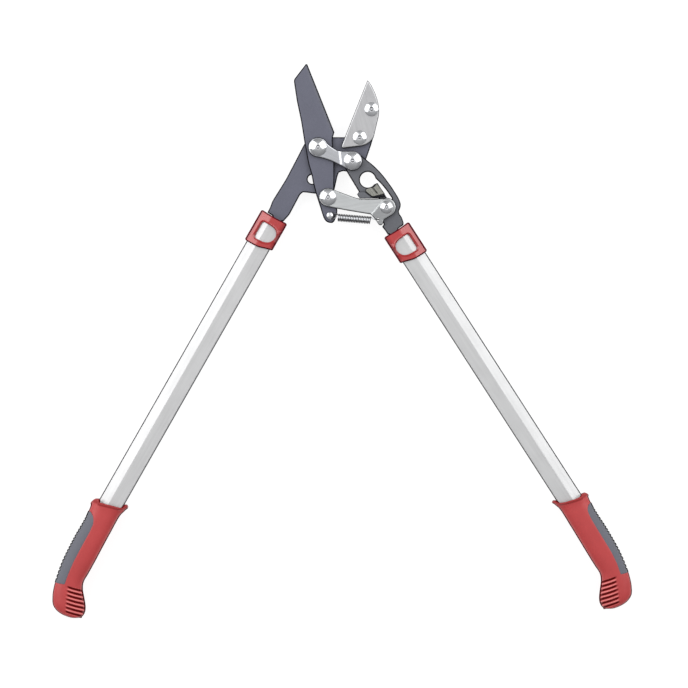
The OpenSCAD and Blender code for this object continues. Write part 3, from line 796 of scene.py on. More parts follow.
tab = [(48.6, -58.8), (52, -63.7), (68, -63.7), (84.2, -62), (84, -59.2), (68.6, -62.3), (66, -61.8), (58, -55.6), (51, -55.6)]
st = sheet(densified(rounded(turned_ccw(tab), 0.7), 2.0), [], edge_rings(6.2, 0.2, 0.35, 0.15), flat(5.2), points=filling(np.array(tab), [], 1.2, 1.0))
# painted shadow: the tab's right-hand wedge is marked dark and takes the dark trim
st.e = [max(e, float(smooth(63, 70, v[0]))) for e, v in zip(st.e, st.v)]
sh.join(st)
piece("drive_lever_plate", sh, "drive_side", ["drive_lever"], LEVER, sharp=25, trim=COATED_EDGE)

# stop bumper -------------------------------------------------------------
pts = [(58.4, -54.6), (60.5, -51.4), (70, -49), (73.4, -44.2), (83.4, -58), (82.6, -58.6), (68.6, -62), (66.8, -61.6)]
outer = densified(rounded(turned_ccw(pts), 0.9), 1.0)
rib = np.array([0.55, -0.835])
rib_n = np.array([0.835, 0.55])


def notch(a, b):
    """The crease that parts the block's two lobes."""
    q0, q1 = np.array([66.6, -49.2]), np.array([73.8, -57.4])
    d = q1 - q0
    t = np.clip(((a - q0[0]) * d[0] + (b - q0[1]) * d[1]) / (d @ d), 0, 1)
    return np.exp(-((a - q0[0] - t * d[0]) ** 2 + (b - q0[1] - t * d[1]) ** 2) / 0.7)


def bumper_place(a, b, h):
    w = a * rib_n[0] + b * rib_n[1]
    ridges = 0.32 * np.cos(2 * math.pi * w / 2.6)
    return np.stack([a, b, 5.9 + h + np.where(h > 3.4, ridges * 0.9 - 0.3 - 1.3 * notch(a, b), 0.0)], -1)


sh = sheet(outer, [], edge_rings(3.7, 0.15, 0.5, 0.3), bumper_place, points=filling(outer, [], 0.55, 1.0))
co = np.array(sh.v)
sh.trim = list(sh.e)
# painted shade in the crease between the block's two lobes
sh.e = list(np.maximum(sh.e, np.where(co[:, 2] > 7.0, notch(co[:, 0], co[:, 1]), 0.0)))
piece("stop_bumper_block", sh, "drive_side", ["stop_bumper"], BUMPER, sharp=50, trim=COATED_EDGE)

# pivot strap -------------------------------------------------------------
pts = arc(P1, 12.5, 24, 254, 34) + [(2.9, -13), (11.6, -15.5), (19.5, -18.6), (28, -23.2)] + arc(Q1, 12.3, 236, 450, 34) + [
    (28, -4.6), (23.6, -3.6), (17, 0.4)]
outer = densified(rounded(turned_ccw(pts), 1.0, soft=200), 1.0)


RAMP = 2.6


def strap_ramp(a, b):
    return 1.5 * np.clip((a + 0.13 * (b + 14) - 26.6) / RAMP, 0, 1)


def strap_place(a, b, h):
    return np.stack([a, b, 6.1 + strap_ramp(a, b) + h], -1)


def ramp_lines(x0):
    ys = np.linspace(-21.0, -5.9, 14)
    return [(x0 - 0.13 * (y + 14), y) for y in ys]


holes = [circle(P1, 5.05), circle(Q1, 5.05)]
fill = filling(outer, holes, 1.6, 2.2)
fill = fill[np.abs(fill[:, 0] + 0.13 * (fill[:, 1] + 14) - 26.6 - RAMP / 2) > RAMP / 2 + 0.9]
sh = sheet(outer, holes, edge_rings(3.0, 0.4, 0.55, 0.4, (0.8, 0.3)), strap_place, lines=[ramp_lines(26.6), ramp_lines(26.6 + RAMP)], points=fill)
piece("pivot_strap_plate", sh, "anvil_side", ["pivot_strap"], STRAP, sharp=15, trim=STEEL_EDGE)

# drive link --------------------------------------------------------------
pts = arc(P2, 11.6, 78, 267, 30) + [(19.2, -75.8), (37.4, -79.2), (65.9, -83.9), (68, -86.2), (73, -92.6), (76, -97), (78.6, -97.6),
                                    (80.6, -96.2), (82.4, -90.6)] + arc(Q2, 11.9, -57, 90, 26) + [
    (79, -63.9), (68, -64.4), (51, -64.2), (44.2, -62.2), (22.5, -54.1)]
outer = densified(rounded(turned_ccw(pts), 1.2, soft=200), 1.1)
ja, jb = np.array([66.25, -84.25]), np.array([78.25, -69.9])
ju = (jb - ja) / np.hypot(*(jb - ja))
jn = np.array([ju[1], -ju[0]])


def link_place(a, b, h):
    d = (a - ja[0]) * jn[0] + (b - ja[1]) * jn[1]
    return np.stack([a, b, 6.1 + 1.5 * np.clip((d + 0.9) / 1.8, 0, 1) + h], -1)


def jog_line(d):
    c = ja + jn * d
    return [c + ju * k for k in np.linspace(1.6, 23.5, 16)]


holes = [circle(P2, 6.1), circle(Q2, 4.05, 40), circle(S4, 1.8, 28)]
sh = sheet(outer, holes, edge_rings(3.5, 0.4, 0.5, 0.35, (0.8, 0.32)), link_place, lines=[jog_line(-0.9), jog_line(0.9)],
           points=filling(outer, holes, 1.8, 1.6))
sh.trim = list(sh.e)
co = np.array(sh.v)
d = (co[:, 0] - ja[0]) * jn[0] + (co[:, 1] - ja[1]) * jn[1]
sh.e = list(np.where((d > 0.95) & (co[:, 2] > 11.05), 0.55 * (1 - smooth(9.0, 7.5, np.hypot(co[:, 0] - Q2[0], co[:, 1] - Q2[1]))), 0.0))
piece("drive_link_plate", sh, "drive_link", ["drive_link"], LINK, sharp=15, trim=STEEL_EDGE)


# ---------------------------------------------------------------------------
# Head: turned parts
# ---------------------------------------------------------------------------
def dome_rings(r, base, rim, cap, socket, depth, hexed=True):
    """From the bottom of the socket over the dome to the underside of the head; the edge marks paint shade in the
    socket and under the rim.
    """
    R = (r * r + cap * cap) / (2 * cap)
    zc = base + rim + cap - R
    top = lambda x: zc + math.sqrt(max(R * R - x * x, 0))
    rings = []
    if socket > 0:
        f = top(socket) - depth
        wall = hexagon(socket) if hexed else socket
        rings += [(0.15, f + 0.62, 0.0), (0.55, f + 0.5, 0.0), (0.95, f + 0.05, 0.6), (hexagon(socket * 0.9) if hexed else socket * 0.9, f, 1.0),
                  (wall, f + 0.15, 1.0), (wall, top(socket) - 0.2, 0.8), (socket + 0.4, top(socket + 0.4), 0.0)]
        start = socket + 0.75
    else:
        start = 0.4
    rings += [(x, top(x), 0.0) for x in np.linspace(start, r - 0.55, 11)]
    rings += [(r - 0.18, top(r - 0.4) - 0.1, 0.1), (r, top(r) - 0.30, 0.35), (r, base + 0.35, 0.6), (r - 0.3, base, 1.0)]
    return rings


def bolt(c, r, base, rim, cap, shank, end, socket, depth, hexed=True):
    rings = dome_rings(r, base, rim, cap, socket, depth, hexed)
    rings += [(shank, base, 1.0), (shank, end + 0.9, 0.3), (shank - 0.8, end, 0.0), (0.3, end, 0.0)]
    return lathe(c, rings, 96)


piece("blade_pivot_bolt_turned", bolt(P1, 11.0, 9.1, 1.0, 4.4, 5.0, -16.0, 2.3, 1.1), "anvil_side", ["blade_pivot_bolt"], CHROME)
piece("lever_pivot_bolt_turned", bolt(Q1, 11.0, 10.6, 1.0, 4.4, 5.0, -16.0, 2.3, 1.1), "anvil_side", ["lever_pivot_bolt"], CHROME)
piece("lever_link_bolt_turned", bolt(Q2, 8.1, 11.15, 0.9, 3.4, 4.0, -5.7, 2.2, 1.0), "drive_side", ["lever_link_bolt"], CHROME)
rings = dome_rings(10.4, 9.75, 1.0, 4.2, 2.3, 1.1) + [(4.6, 9.75, 1.0), (4.6, 5.05, 0.3), (4.0, 5.02, 0.3), (4.0, 1.1, 0.3), (3.6, 0.6, 0.0), (0.3, 0.6, 0.0)]
piece("blade_link_bolt_turned", lathe(P2, rings, 96), "blade", ["blade_link_bolt"], CHROME)
rings = dome_rings(4.0, 11.4, 0.5, 1.2, 0, 0) + [(2.5, 11.4, 1.0), (2.5, 1.0, 0.2), (2.2, 0.6, 0.0), (0.3, 0.6, 0.0)]
piece("spring_pin_turned", lathe(P3, rings, 64), "blade", ["spring_pin"], CHROME)
sh = Shape()
for c in ((66.75, 47.5), (52.0, 12.25)):
    sh.join(bolt(c, 8.75, 5.5, 0.8, 2.6, 3.0, -5.2, 2.5, 1.3))
piece("anvil_screws_turned", sh, "anvil_side", ["anvil_screws"], CHROME)


def nut(c, rc, bore, z0, z1):
    """Hexagon nut with chamfered corners at both ends and a countersunk bore."""
    af = rc * math.cos(math.radians(30))
    # the bore's edge marks are painted shade
    rings = [(bore, z0 + 0.9, 1.0), (bore + 0.9, z0, 0.3)]
    steps = [0.0, 0.18, 0.36, 0.6, 0.9]
    rings += [(hexagon(rc, 30, 0.97 * af + s * 1.75), z0 + s, 0.0) for s in steps]
    rings += [(hexagon(rc, 30), z0 + 1.2, 0.0), (hexagon(rc, 30), z1 - 1.2, 0.0)]
    rings += [(hexagon(rc, 30, 0.97 * af + s * 1.75), z1 - s, 0.0) for s in steps[::-1]]
    rings += [(bore + 0.7, z1, 0.5), (bore, z1 - 0.7, 1.0)]
    return lathe(c, rings, 96, closed=True)


piece("blade_pivot_nut_hex", nut(P1, 9.8, 5.0, -17.0, -7.0), "anvil_side", ["blade_pivot_nut"], ZINC, sharp=28)
piece("lever_pivot_nut_hex", nut(Q1, 9.8, 5.0, -17.0, -7.0), "anvil_side", ["lever_pivot_nut"], ZINC, sharp=28)
piece("lever_link_nut_hex", nut(Q2, 7.5, 4.0, -6.7, -0.7), "drive_side", ["lever_link_nut"], ZINC, sharp=28)


def washer(c, ri, ro, z0, z1):
    k = min(0.28, 0.3 * (z1 - z0))
    # the edge marks at the bore and round the rims are painted shade
    return lathe(c, [(ri, z0 + k, 0.6), (ri + k, z0, 0.2), (ro - k, z0, 0.0), (ro - 0.3 * k, z0 + 0.3 * k, 0.2), (ro, z0 + k, 0.3),
                     (ro, z1 - k, 0.3), (ro - 0.3 * k, z1 - 0.3 * k, 0.2), (ro - k, z1, 0.0), (ri + k, z1, 0.2), (ri, z1 - k, 0.6)], 80, closed=True)


sh = washer(P1, 5.1, 11.0, -7.0, -5.5).join(washer(Q1, 5.1, 11.0, -7.0, -5.5))
piece("rear_washers_turned", sh, "anvil_side", ["rear_washers"], ZINC)
sh = washer(P1, 5.1, 11.0, -0.5, 0.45).join(washer(Q1, 5.1, 11.0, -0.5, 0.45))
piece("spacer_washers_turned", sh, "anvil_side", ["spacer_washers"], BRONZE)
sh = washer(P1, 5.1, 10.5, 5.05, 6.1).join(washer(Q1, 5.1, 10.5, 6.05, 7.6))
piece("front_washers_turned", sh, "anvil_side", ["front_washers"], BRONZE)
sh = washer(Q2, 4.05, 9.0, -0.7, 0.5).join(washer(Q2, 4.05, 7.2, 6.0, 7.55))
piece("link_washers_turned", sh, "drive_side", ["link_washers"], ZINC)
piece("link_spacer_turned", washer(P2, 4.6, 9.0, 5.0, 6.05), "blade", ["link_spacer"], BRONZE)
piece("blade_bush_turned", washer(P1, 5.05, 7.0, 0.5, 5.0), "blade", ["blade_bush"], BRONZE)
piece("lever_bush_turned", washer(Q1, 5.05, 7.0, 0.5, 6.0), "drive_side", ["lever_bush"], BRONZE)

# ---------------------------------------------------------------------------
# Opening spring: loop round the pin, coil, loop through the tab
# ---------------------------------------------------------------------------
ZS = 10.4
WIRE = 0.75
su = np.array(S4) - np.array(P3)
slen = float(np.hypot(*su))
su = su / slen
sv = np.array([-su[1], su[0]])


def sp(a, b, c):
    return np.array([P3[0] + a * su[0] + b * sv[0], P3[1] + a * su[1] + b * sv[1], ZS + c])


COIL0, COIL1, COIL_R, DROP, TURNS = 10.2, slen - 9.4, 4.3, 1.8, 20
path = [sp(2.2 - 5.6 * math.cos(t), 4.05 * math.sin(t), -0.3) for t in np.radians(np.linspace(-195, 128, 38))]
path += [sp(6.9, 2.75, 0.35), sp(7.8, 2.6, 0.75), sp(8.8, 2.3, 1.05)]
per = 30
coil = [sp(COIL0 + (COIL1 - COIL0) * i / (TURNS * per), COIL_R * math.sin(t) - DROP, COIL_R * math.cos(t))
        for i in range(TURNS * per + 1) for t in [math.radians(70 - 360.0 * i / per)]]
path += coil
path += [sp(COIL1 + 1.6, 1.1, 3.0), sp(COIL1 + 2.8, 0.5, 2.6), sp(COIL1 + 4.2, 0.1, 2.2)]
path += [sp(slen - 2.4 + 3.4 * math.cos(t), 0, -1.05 + 2.9 * math.sin(t)) for t in np.radians(np.linspace(112, -128, 24))]
path = np.array(path)


def wire(path, r, n, mark=None):
    tg = np.gradient(path, axis=0)
    tg /= np.linalg.norm(tg, axis=1)[:, None]
    a = np.cross(tg[0], [0.3, 0.2, 1.0])
    a /= np.linalg.norm(a)
    rows = []
    t = np.arange(n) * 2 * math.pi / n
    for p, d in zip(path, tg):
        a = a - d * (a @ d)
        a /= np.linalg.norm(a)
        b = np.cross(d, a)
        rows.append(p + r * (np.cos(t)[:, None] * a + np.sin(t)[:, None] * b))
    rows = np.array(rows)
    return grid(rows, 0.0 if mark is None else mark(rows), close_v=True, poles=(True, True))


def spring_shade(rows):
    """Painted shade on the coil's underside and sides, and painted shadow on the loops round the pin and through the
    tab.
    """
    a = (rows[..., 0] - P3[0]) * su[0] + (rows[..., 1] - P3[1]) * su[1]
    b = (rows[..., 0] - P3[0]) * sv[0] + (rows[..., 1] - P3[1]) * sv[1] + DROP
    low = np.maximum(smooth(ZS + 2.6, ZS - 0.6, rows[..., 2]), smooth(1.3, 2.5, np.abs(b)))
    low = low * smooth(4.2, 5.6, a) * (1 - smooth(COIL1 + 0.5, COIL1 + 2.5, a))
    loops = smooth(1.5, 2.5, a) * (1 - smooth(4.2, 6.0, a)) + smooth(slen - 5.4, slen - 3.4, a)
    return np.maximum(low, loops)


spring = piece("opening_spring_wire", wire(path, WIRE, 12, spring_shade), "opening_spring", ["opening_spring"], SPRING, weighted=False, ride=False)
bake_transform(spring)

# ---------------------------------------------------------------------------
# Handles
# ---------------------------------------------------------------------------
HW, HH = 15.3, 8.5
TUBE_PTS = [(-HW, -7), (-HW + 1.5, -HH), (2.5, -HH), (HW, -3.6), (HW, 3.6), (2.5, HH), (-HW + 1.5, HH), (-HW, 7)]
EDGE_U, EDGE_IN = HW - 1.3, HW - 0.95
TUBE_IN = 70.0


def on_bevel(u):
    return 8.5 - (u - 2.5) * 4.9 / (HW - 2.5)


def tube(side, reach):
    # two close points at the inner end of each edge line keep it crisp
    zi = HH - (EDGE_IN - HW + 1.5)
    pts = TUBE_PTS[:1] + [(-EDGE_IN, -zi)] + TUBE_PTS[1:3] + [(EDGE_U, -on_bevel(EDGE_U))] + TUBE_PTS[3:5] + [(EDGE_U, on_bevel(EDGE_U))] + TUBE_PTS[5:7] + [(-EDGE_IN, zi)] + TUBE_PTS[7:]
    prof = densified(rounded(pts, 0.9, soft=3.0, soft_turn=30, step=9), 1.0)
    inner = inset(prof, 2.0)
    au, az = np.abs(prof[:, 0]), np.abs(prof[:, 1])
    # painted shade: the corners along both sides are marked and take the dark trim, a dark line along each edge
    edge = np.where(prof[:, 0] > 0, (au > EDGE_U - 0.02) & (az > 2.9), (au > EDGE_IN - 0.02) & (az > 6.2)).astype(float)
    rows, marks = [], []
    for s, k in ((-19.6, 0.45), (-19.35, 0.12), (-19.1, 0.0)):
        rows.append((s, inset(prof, k)))
        marks.append(edge)
    for s in np.linspace(-10, reach + TUBE_IN - 0.4, 60):
        rows.append((s, prof))
        marks.append(edge)
    rows.append((reach + TUBE_IN, inset(prof, 0.4)))
    marks.append(edge)
    for s in (reach + TUBE_IN, -19.6):
        rows.append((s, inner))
        marks.append(np.zeros(len(prof)))
    xyz = np.array([on_handle(side, s, q[:, 0], q[:, 1]) for s, q in rows])
    return grid(xyz, np.array(marks), close_u=True, close_v=True)


piece("left_tube_profile", tube("left", LEFT_REACH), "anvil_side", ["left_tube"], TUBE_L, sharp=18, trim=TUBE_EDGE)
piece("right_tube_profile", tube("right", RIGHT_REACH), "drive_side", ["right_tube"], TUBE_R, sharp=18, trim=TUBE_EDGE)

# ferrules ----------------------------------------------------------------
HALF_PTS = [(-HW - 0.1, 0.0), (-HW - 0.1, 7.05), (-HW + 1.45, HH + 0.1), (2.5, HH + 0.1), (HW + 0.1, 3.65), (HW + 0.1, 0.0)]
WALL = 3.1


def half_profile():
    """Upper half of the collar's inner face, inner side to outer side, with normals, at even steps."""
    full = HALF_PTS + [(x, -z) for x, z in HALF_PTS[::-1][1:-1]]
    p = densified(rounded(turned_ccw(full), 1.5, soft=3.0, soft_turn=30, step=6), 0.5)
    e = np.roll(p, -1, 0) - np.roll(p, 1, 0)
    e /= np.linalg.norm(e, axis=1)[:, None]
    nrm = np.stack([e[:, 1], -e[:, 0]], 1)
    up = p[:, 1] > 1e-6
    q, nn = p[up], nrm[up]
    seq = sorted(range(len(q)), key=lambda i: math.atan2(q[i][1], -q[i][0]))
    q, nn = q[seq], nn[seq]
    q = np.vstack([[(-HW - 0.1, 0.0)], q, [(HW + 0.1, 0.0)]])
    nn = np.vstack([[(-1.0, 0.0)], nn, [(1.0, 0.0)]])
    t = np.concatenate([[0], np.cumsum(np.linalg.norm(np.diff(q, axis=0), axis=1))])
    return t, q, nn


HT, HQ, HN = half_profile()


def t_of_u(u):
    """Position round the collar of a point of its front face."""
    face = (HQ[:, 1] > 3.2)
    return np.interp(u, HQ[face, 0], HT[face])


WINDOW = [(-8.2, 7.8), (-6.6, 9.4), (12.4, 9.4), (14.6, 7.2), (13.7, -4), (11.4, -9.2), (7.8, -12.2), (3.6, -13.3), (0, -13.3), (-3.8, -12), (-6.6, -8.8), (-8, -4)]
LOWER = np.array([(17, -20), (18.6, -14), (21.4, -6), (23, 0), (23.2, 8), (22.8, 20)], float)


def ferrule(side):
    win = densified(rounded(turned_ccw(WINDOW), 3.0, soft=60), 1.0)
    win_t = np.stack([win[:, 0], t_of_u(np.clip(win[:, 1], -14.2, 14.2))], 1)
    ts = np.concatenate([[0.0], HT[1:-1:2], [HT[-1]]])
    us = np.interp(ts, HT, HQ[:, 0])
    top = -20.5 + 0.85 * (1 - (us / 15.4) ** 2)
    # curve of the lower edge, eased
    low = np.interp(us, LOWER[:, 1], LOWER[:, 0])
    low = np.convolve(np.pad(low, 4, mode="edge"), np.ones(9) / 9, mode="valid")
    # outline in (s, t): along the top from t=0, then the outer seam, back along the bottom, the inner seam
    up = [(a, b) for a, b in zip(top, ts)]
    dn = [(a, b) for a, b in zip(low, ts)]
    mid_out = [(a, HT[-1]) for a in np.linspace(top[-1], low[-1], 24)[1:-1]]
    mid_in = [(a, 0.0) for a in np.linspace(low[0], top[0], 24)[1:-1]]
    outline = up + mid_out + dn[::-1] + mid_in
    outline = np.array(outline, float)
    ccw = signed_area(outline) > 0
    if not ccw:
        outline = outline[::-1].copy()
    nxt = np.roll(outline, -1, 0)
    seam = (np.abs(outline[:, 1] - nxt[:, 1]) < 1e-9) & ((np.abs(outline[:, 1]) < 1e-9) | (np.abs(outline[:, 1] - HT[-1]) < 1e-9))

    def lip(a, b):
        q = np.stack([a, b], 1)
        d = np.array([np.sqrt(np.min(np.sum((win_t - x) ** 2, 1))) for x in q])
        return 0.5 * np.exp(-((d - 1.2) / 1.1) ** 2)

    def place(a, b, h, flip=1.0):
        q0 = np.interp(b, HT, HQ[:, 0])
        q1 = np.interp(b, HT, HQ[:, 1])
        n0 = np.interp(b, HT, HN[:, 0])
        n1 = np.interp(b, HT, HN[:, 1])
        n1 = np.where((b <= 0) | (b >= HT[-1]), 0.0, n1)
        hh = h + np.where(h > 0.9, lip(a, b), 0.0)
        return on_handle(side, a, q0 + n0 * hh, (q1 + n1 * hh) * flip)

    lines = []
    for d in (2.2, 2.9, 3.7):
        ring = inset(turned_cw(win_t), d)
        lines.append(list(ring) + [ring[0]])
    # lines along the collar that bound the bands of painted shade at its outer and inner corners
    skin_u, skin_z = HQ[:, 0] + HN[:, 0] * WALL, HQ[:, 1] + HN[:, 1] * WALL
    for sign, u0, z0 in ((1, HW + 0.9, 2.2), (-1, HW + 1.2, 5.0)):
        run = np.where((sign * skin_u > u0) & (skin_z > z0))[0]
        for k in (run[0] - 1, run[0], run[len(run) // 2], run[-1], run[-1] + 1):
            uk = HQ[k, 0]
            s0 = -20.5 + 0.85 * (1 - (uk / 15.4) ** 2) + 2.1
            s1 = float(np.interp(uk, us, low)) - 2.1
            lines.append([(x, HT[k]) for x in np.linspace(s0, s1, 16)])
    rings = edge_rings(WALL, 0.15, 1.35, 0.3)
    pts = filling(outline, [win_t], 2.0, 1.2)
    keep = np.array([np.min(np.sum((win_t - x) ** 2, 1)) > 4.4 ** 2 for x in pts])
    fillp = pts[keep]
    # rows along the profile's ridges keep its bends crisp
    sh = sheet(outline, [win_t], rings, lambda a, b, h: place(a, b, h), lines=lines, points=fillp, seam=seam, hole_mark=0.25)
    sh.join(sheet(outline, [win_t], rings, lambda a, b, h: place(a, b, h, -1.0), lines=lines, points=fillp, seam=seam, hole_mark=0.25))
    # painted shade: dark trim along the corners of the collar, and darker towards its sides
    f, ds, du = handle_axes(side)
    v = np.array(sh.v)
    u = (v[:, :2] - f) @ du
    az = np.abs(v[:, 2])
    corner = np.where(u > 0, (u > HW + 0.88) & (az > 2.15), (u < -HW - 1.18) & (az > 4.95))
    sh.trim = list(np.maximum(sh.e, 1.0 * corner))
    sh.e = list(np.maximum(sh.trim, 0.5 * smooth(HW - 0.8, HW + 1.6, np.abs(u)) * smooth(1.0, 2.6, az)))
    return sh


piece("left_ferrule_collar", ferrule("left"), "anvil_side", ["left_ferrule"], RED_FERRULE, sharp=35, trim=RED_EDGE)
piece("right_ferrule_collar", ferrule("right"), "drive_side", ["right_ferrule"], RED_FERRULE, sharp=35, trim=RED_EDGE)

# grips -------------------------------------------------------------------
GRIP_ROWS = np.array([
    (10, 23.3, -5, -20.8, 17), (15, 22, 0.4, -19.4, 16.4), (23, 20.3, 12, -17.6, 15.4), (38, 19.5, 32, -17.6, 15.2),
    (55, 19.7, 50, -18, 15.4), (73, 19.1, 71, -18.6, 15.6), (94, 17.5, 90, -19, 15.4), (112, 14.4, 103, -19.4, 15),
    (126, 10.9, 111, -23.2, 14.6), (138, 6.1, 118, -29, 14.2), (147, -0.3, 124, -34, 13.6), (150.6, -9, 129, -37.4, 12.6),
    (150.6, -20, 133.6, -39.2, 11), (147.6, -30.6, 138, -39.4, 8.6), (144, -36.4, 141.4, -38.8, 4)], float)
_mid = np.stack([(GRIP_ROWS[:, 0] + GRIP_ROWS[:, 2]) / 2, (GRIP_ROWS[:, 1] + GRIP_ROWS[:, 3]) / 2], 1)
GRIP_S = np.concatenate([[0], np.cumsum(np.linalg.norm(np.diff(_mid, axis=0), axis=1))])


def grip_row(x):
    """Section of the grip at distance x from its lip: a smooth curve through the rows."""
    x = np.atleast_1d(np.asarray(x, float))
    h = np.diff(GRIP_S)
    slope = np.diff(GRIP_ROWS, axis=0) / h[:, None]
    m = np.empty_like(GRIP_ROWS)
    m[1:-1] = (slope[:-1] * h[1:, None] + slope[1:] * h[:-1, None]) / (h[1:] + h[:-1])[:, None]
    m[0], m[-1] = slope[0], slope[-1]
    k = np.clip(np.searchsorted(GRIP_S, x, side="right") - 1, 0, len(h) - 1)
    t = ((x - GRIP_S[k]) / h[k])[:, None]
    hk = h[k][:, None]
    a, b = GRIP_ROWS[k], GRIP_ROWS[k + 1]
    return ((2 * t ** 3 - 3 * t ** 2 + 1) * a + (t ** 3 - 2 * t ** 2 + t) * hk * m[k]
            + (-2 * t ** 3 + 3 * t ** 2) * b + (t ** 3 - t ** 2) * hk * m[k + 1])


# how each grip's lip runs: dip of its front, lean of that dip, height of the outer lobe and of the inner knob
LIP_FORM = {"left": (-0.35, -2.5, 3.9, 4.6), "right": (3.2, -2.5, 1.8, 2.3)}


def grip_point(x, th, off, side):
    """Points (s, u, z) of the grip's skin: x along it, th round it from the outer edge, off outwards."""
    x, th, off = np.broadcast_arrays(np.asarray(x, float), np.asarray(th, float), np.asarray(off, float))
    r = grip_row(x.reshape(-1)).reshape(x.shape + (5,))
    o, i, hz = r[..., 0:2], r[..., 2:4], r[..., 4]
    c = (o + i) / 2
    dv = o - i
    w = np.linalg.norm(dv, axis=-1)
    q = dv / w[..., None]
    pw = lambda v: np.sign(v) * np.abs(v) ** 0.72
    tw = np.abs(np.mod(th + math.pi, 2 * math.pi) - math.pi)
    off = off + 1.3 * smooth(math.pi - 0.75, math.pi - 0.4, tw) * smooth(0.3, 2.6, x) * (1 - smooth(4, 11, x))
    a = pw(np.cos(th)) * (w / 2 + off)
    b = pw(np.sin(th)) * (hz + off)
    front, lean, lobe, knob = LIP_FORM[side]
    dip = np.sin(th) ** 2 * (front + lean * np.cos(th)) * (1 - smooth(0, 22, x))
    # the lip stands up in a lobe at its outer end and a knob at its inner end
    up = lobe * smooth(0.05, 0.5, tw) * (1 - smooth(0.92, 1.12, tw))
    up = up + knob * smooth(math.pi - 0.76, math.pi - 0.52, tw) * (1 - 0.5 * smooth(math.pi - 0.4, math.pi, tw))
    dip = dip - up * (1 - smooth(0, 9, x))
    return np.stack([c[..., 0] + a * q[..., 0] + dip, c[..., 1] + a * q[..., 1], b], -1)


def grooves(s, u, z):
    """Depth share of the finger grooves at the grip's end, and how much a point lies on one of the ridges between them,
    where a highlight is painted.
    """
    s, u = s + 0.077 * np.abs(z), u + 0.026 * np.abs(z)
    v = (s - 118) * -0.419 + (u + 3.5) * -0.909
    g = 1 + 0.1907 * (s - 118) - 0.05116 * (u + 3.5) - 0.10 * np.sin(np.clip(v / 22, 0, 1) * math.pi)
    k = np.round(g)
    t = np.abs(g - k) / 0.27
    p = np.clip(1 - t * t, 0, 1)
    p = np.where((k >= 1) & (k <= 7), p ** 0.8, 0.0)
    where = smooth(0.0, 2.4, v) * smooth(2.5, 8.0, np.abs(z))
    ridge_highlight = np.where((g > 0.62) & (g < 7.4), smooth(0.30, 0.42, np.abs(g - k)), 0.0)
    return p * where, ridge_highlight * where


def pad_edge(s, e):
    """How far out the soft pad's border runs, at a distance s from the lip."""
    pts = np.array([(22.0, 23.0), (23.0, 16.5), (25.0, 11.8 + 0.4 * e), (28.5, 8.2 + 0.6 * e), (34, 5.6 + e), (44, 4.6 + e), (64, 4.2 + e), (86, 3.6 + e),
                    (104, 2.0 + e), (116.5, -0.2 + 0.8 * e), (124.0, 0.2 + 0.7 * e)])
    return np.interp(s, pts[:, 0], pts[:, 1])


_xs = np.linspace(10, 130, 2401)
_out = grip_row(_xs)[:, 0]
PAD0 = float(_xs[np.argmin(np.abs(_out - 21.8))])
PAD1 = float(_xs[np.argmin(np.abs(_out - 120.8))])


def pad_limit(x, e):
    """Angle round the grip, from its outer edge, at which the pad's border lies."""
    rr = grip_row(x)
    o, i = rr[:, 0:2], rr[:, 2:4]
    c, dv = (o + i) / 2, o - i
    w = np.linalg.norm(dv, axis=1)
    q = dv / w[:, None]
    a = np.linspace(-0.2, 1.0, 601)
    bs = np.empty(len(x))
    for k in range(len(x)):
        pos = c[k] + np.outer(a * w[k] / 2, q[k])
        bad = np.where(pos[:, 1] + 0.37 < pad_edge(pos[:, 0] + 1.1, e))[0]
        bs[k] = a[bad[-1]] if len(bad) else a[0]
    bs = np.clip(bs, 0.02, 0.985)
    return np.arccos(np.clip(bs, 0, 1) ** (1 / 0.72))


LIP = 2.3


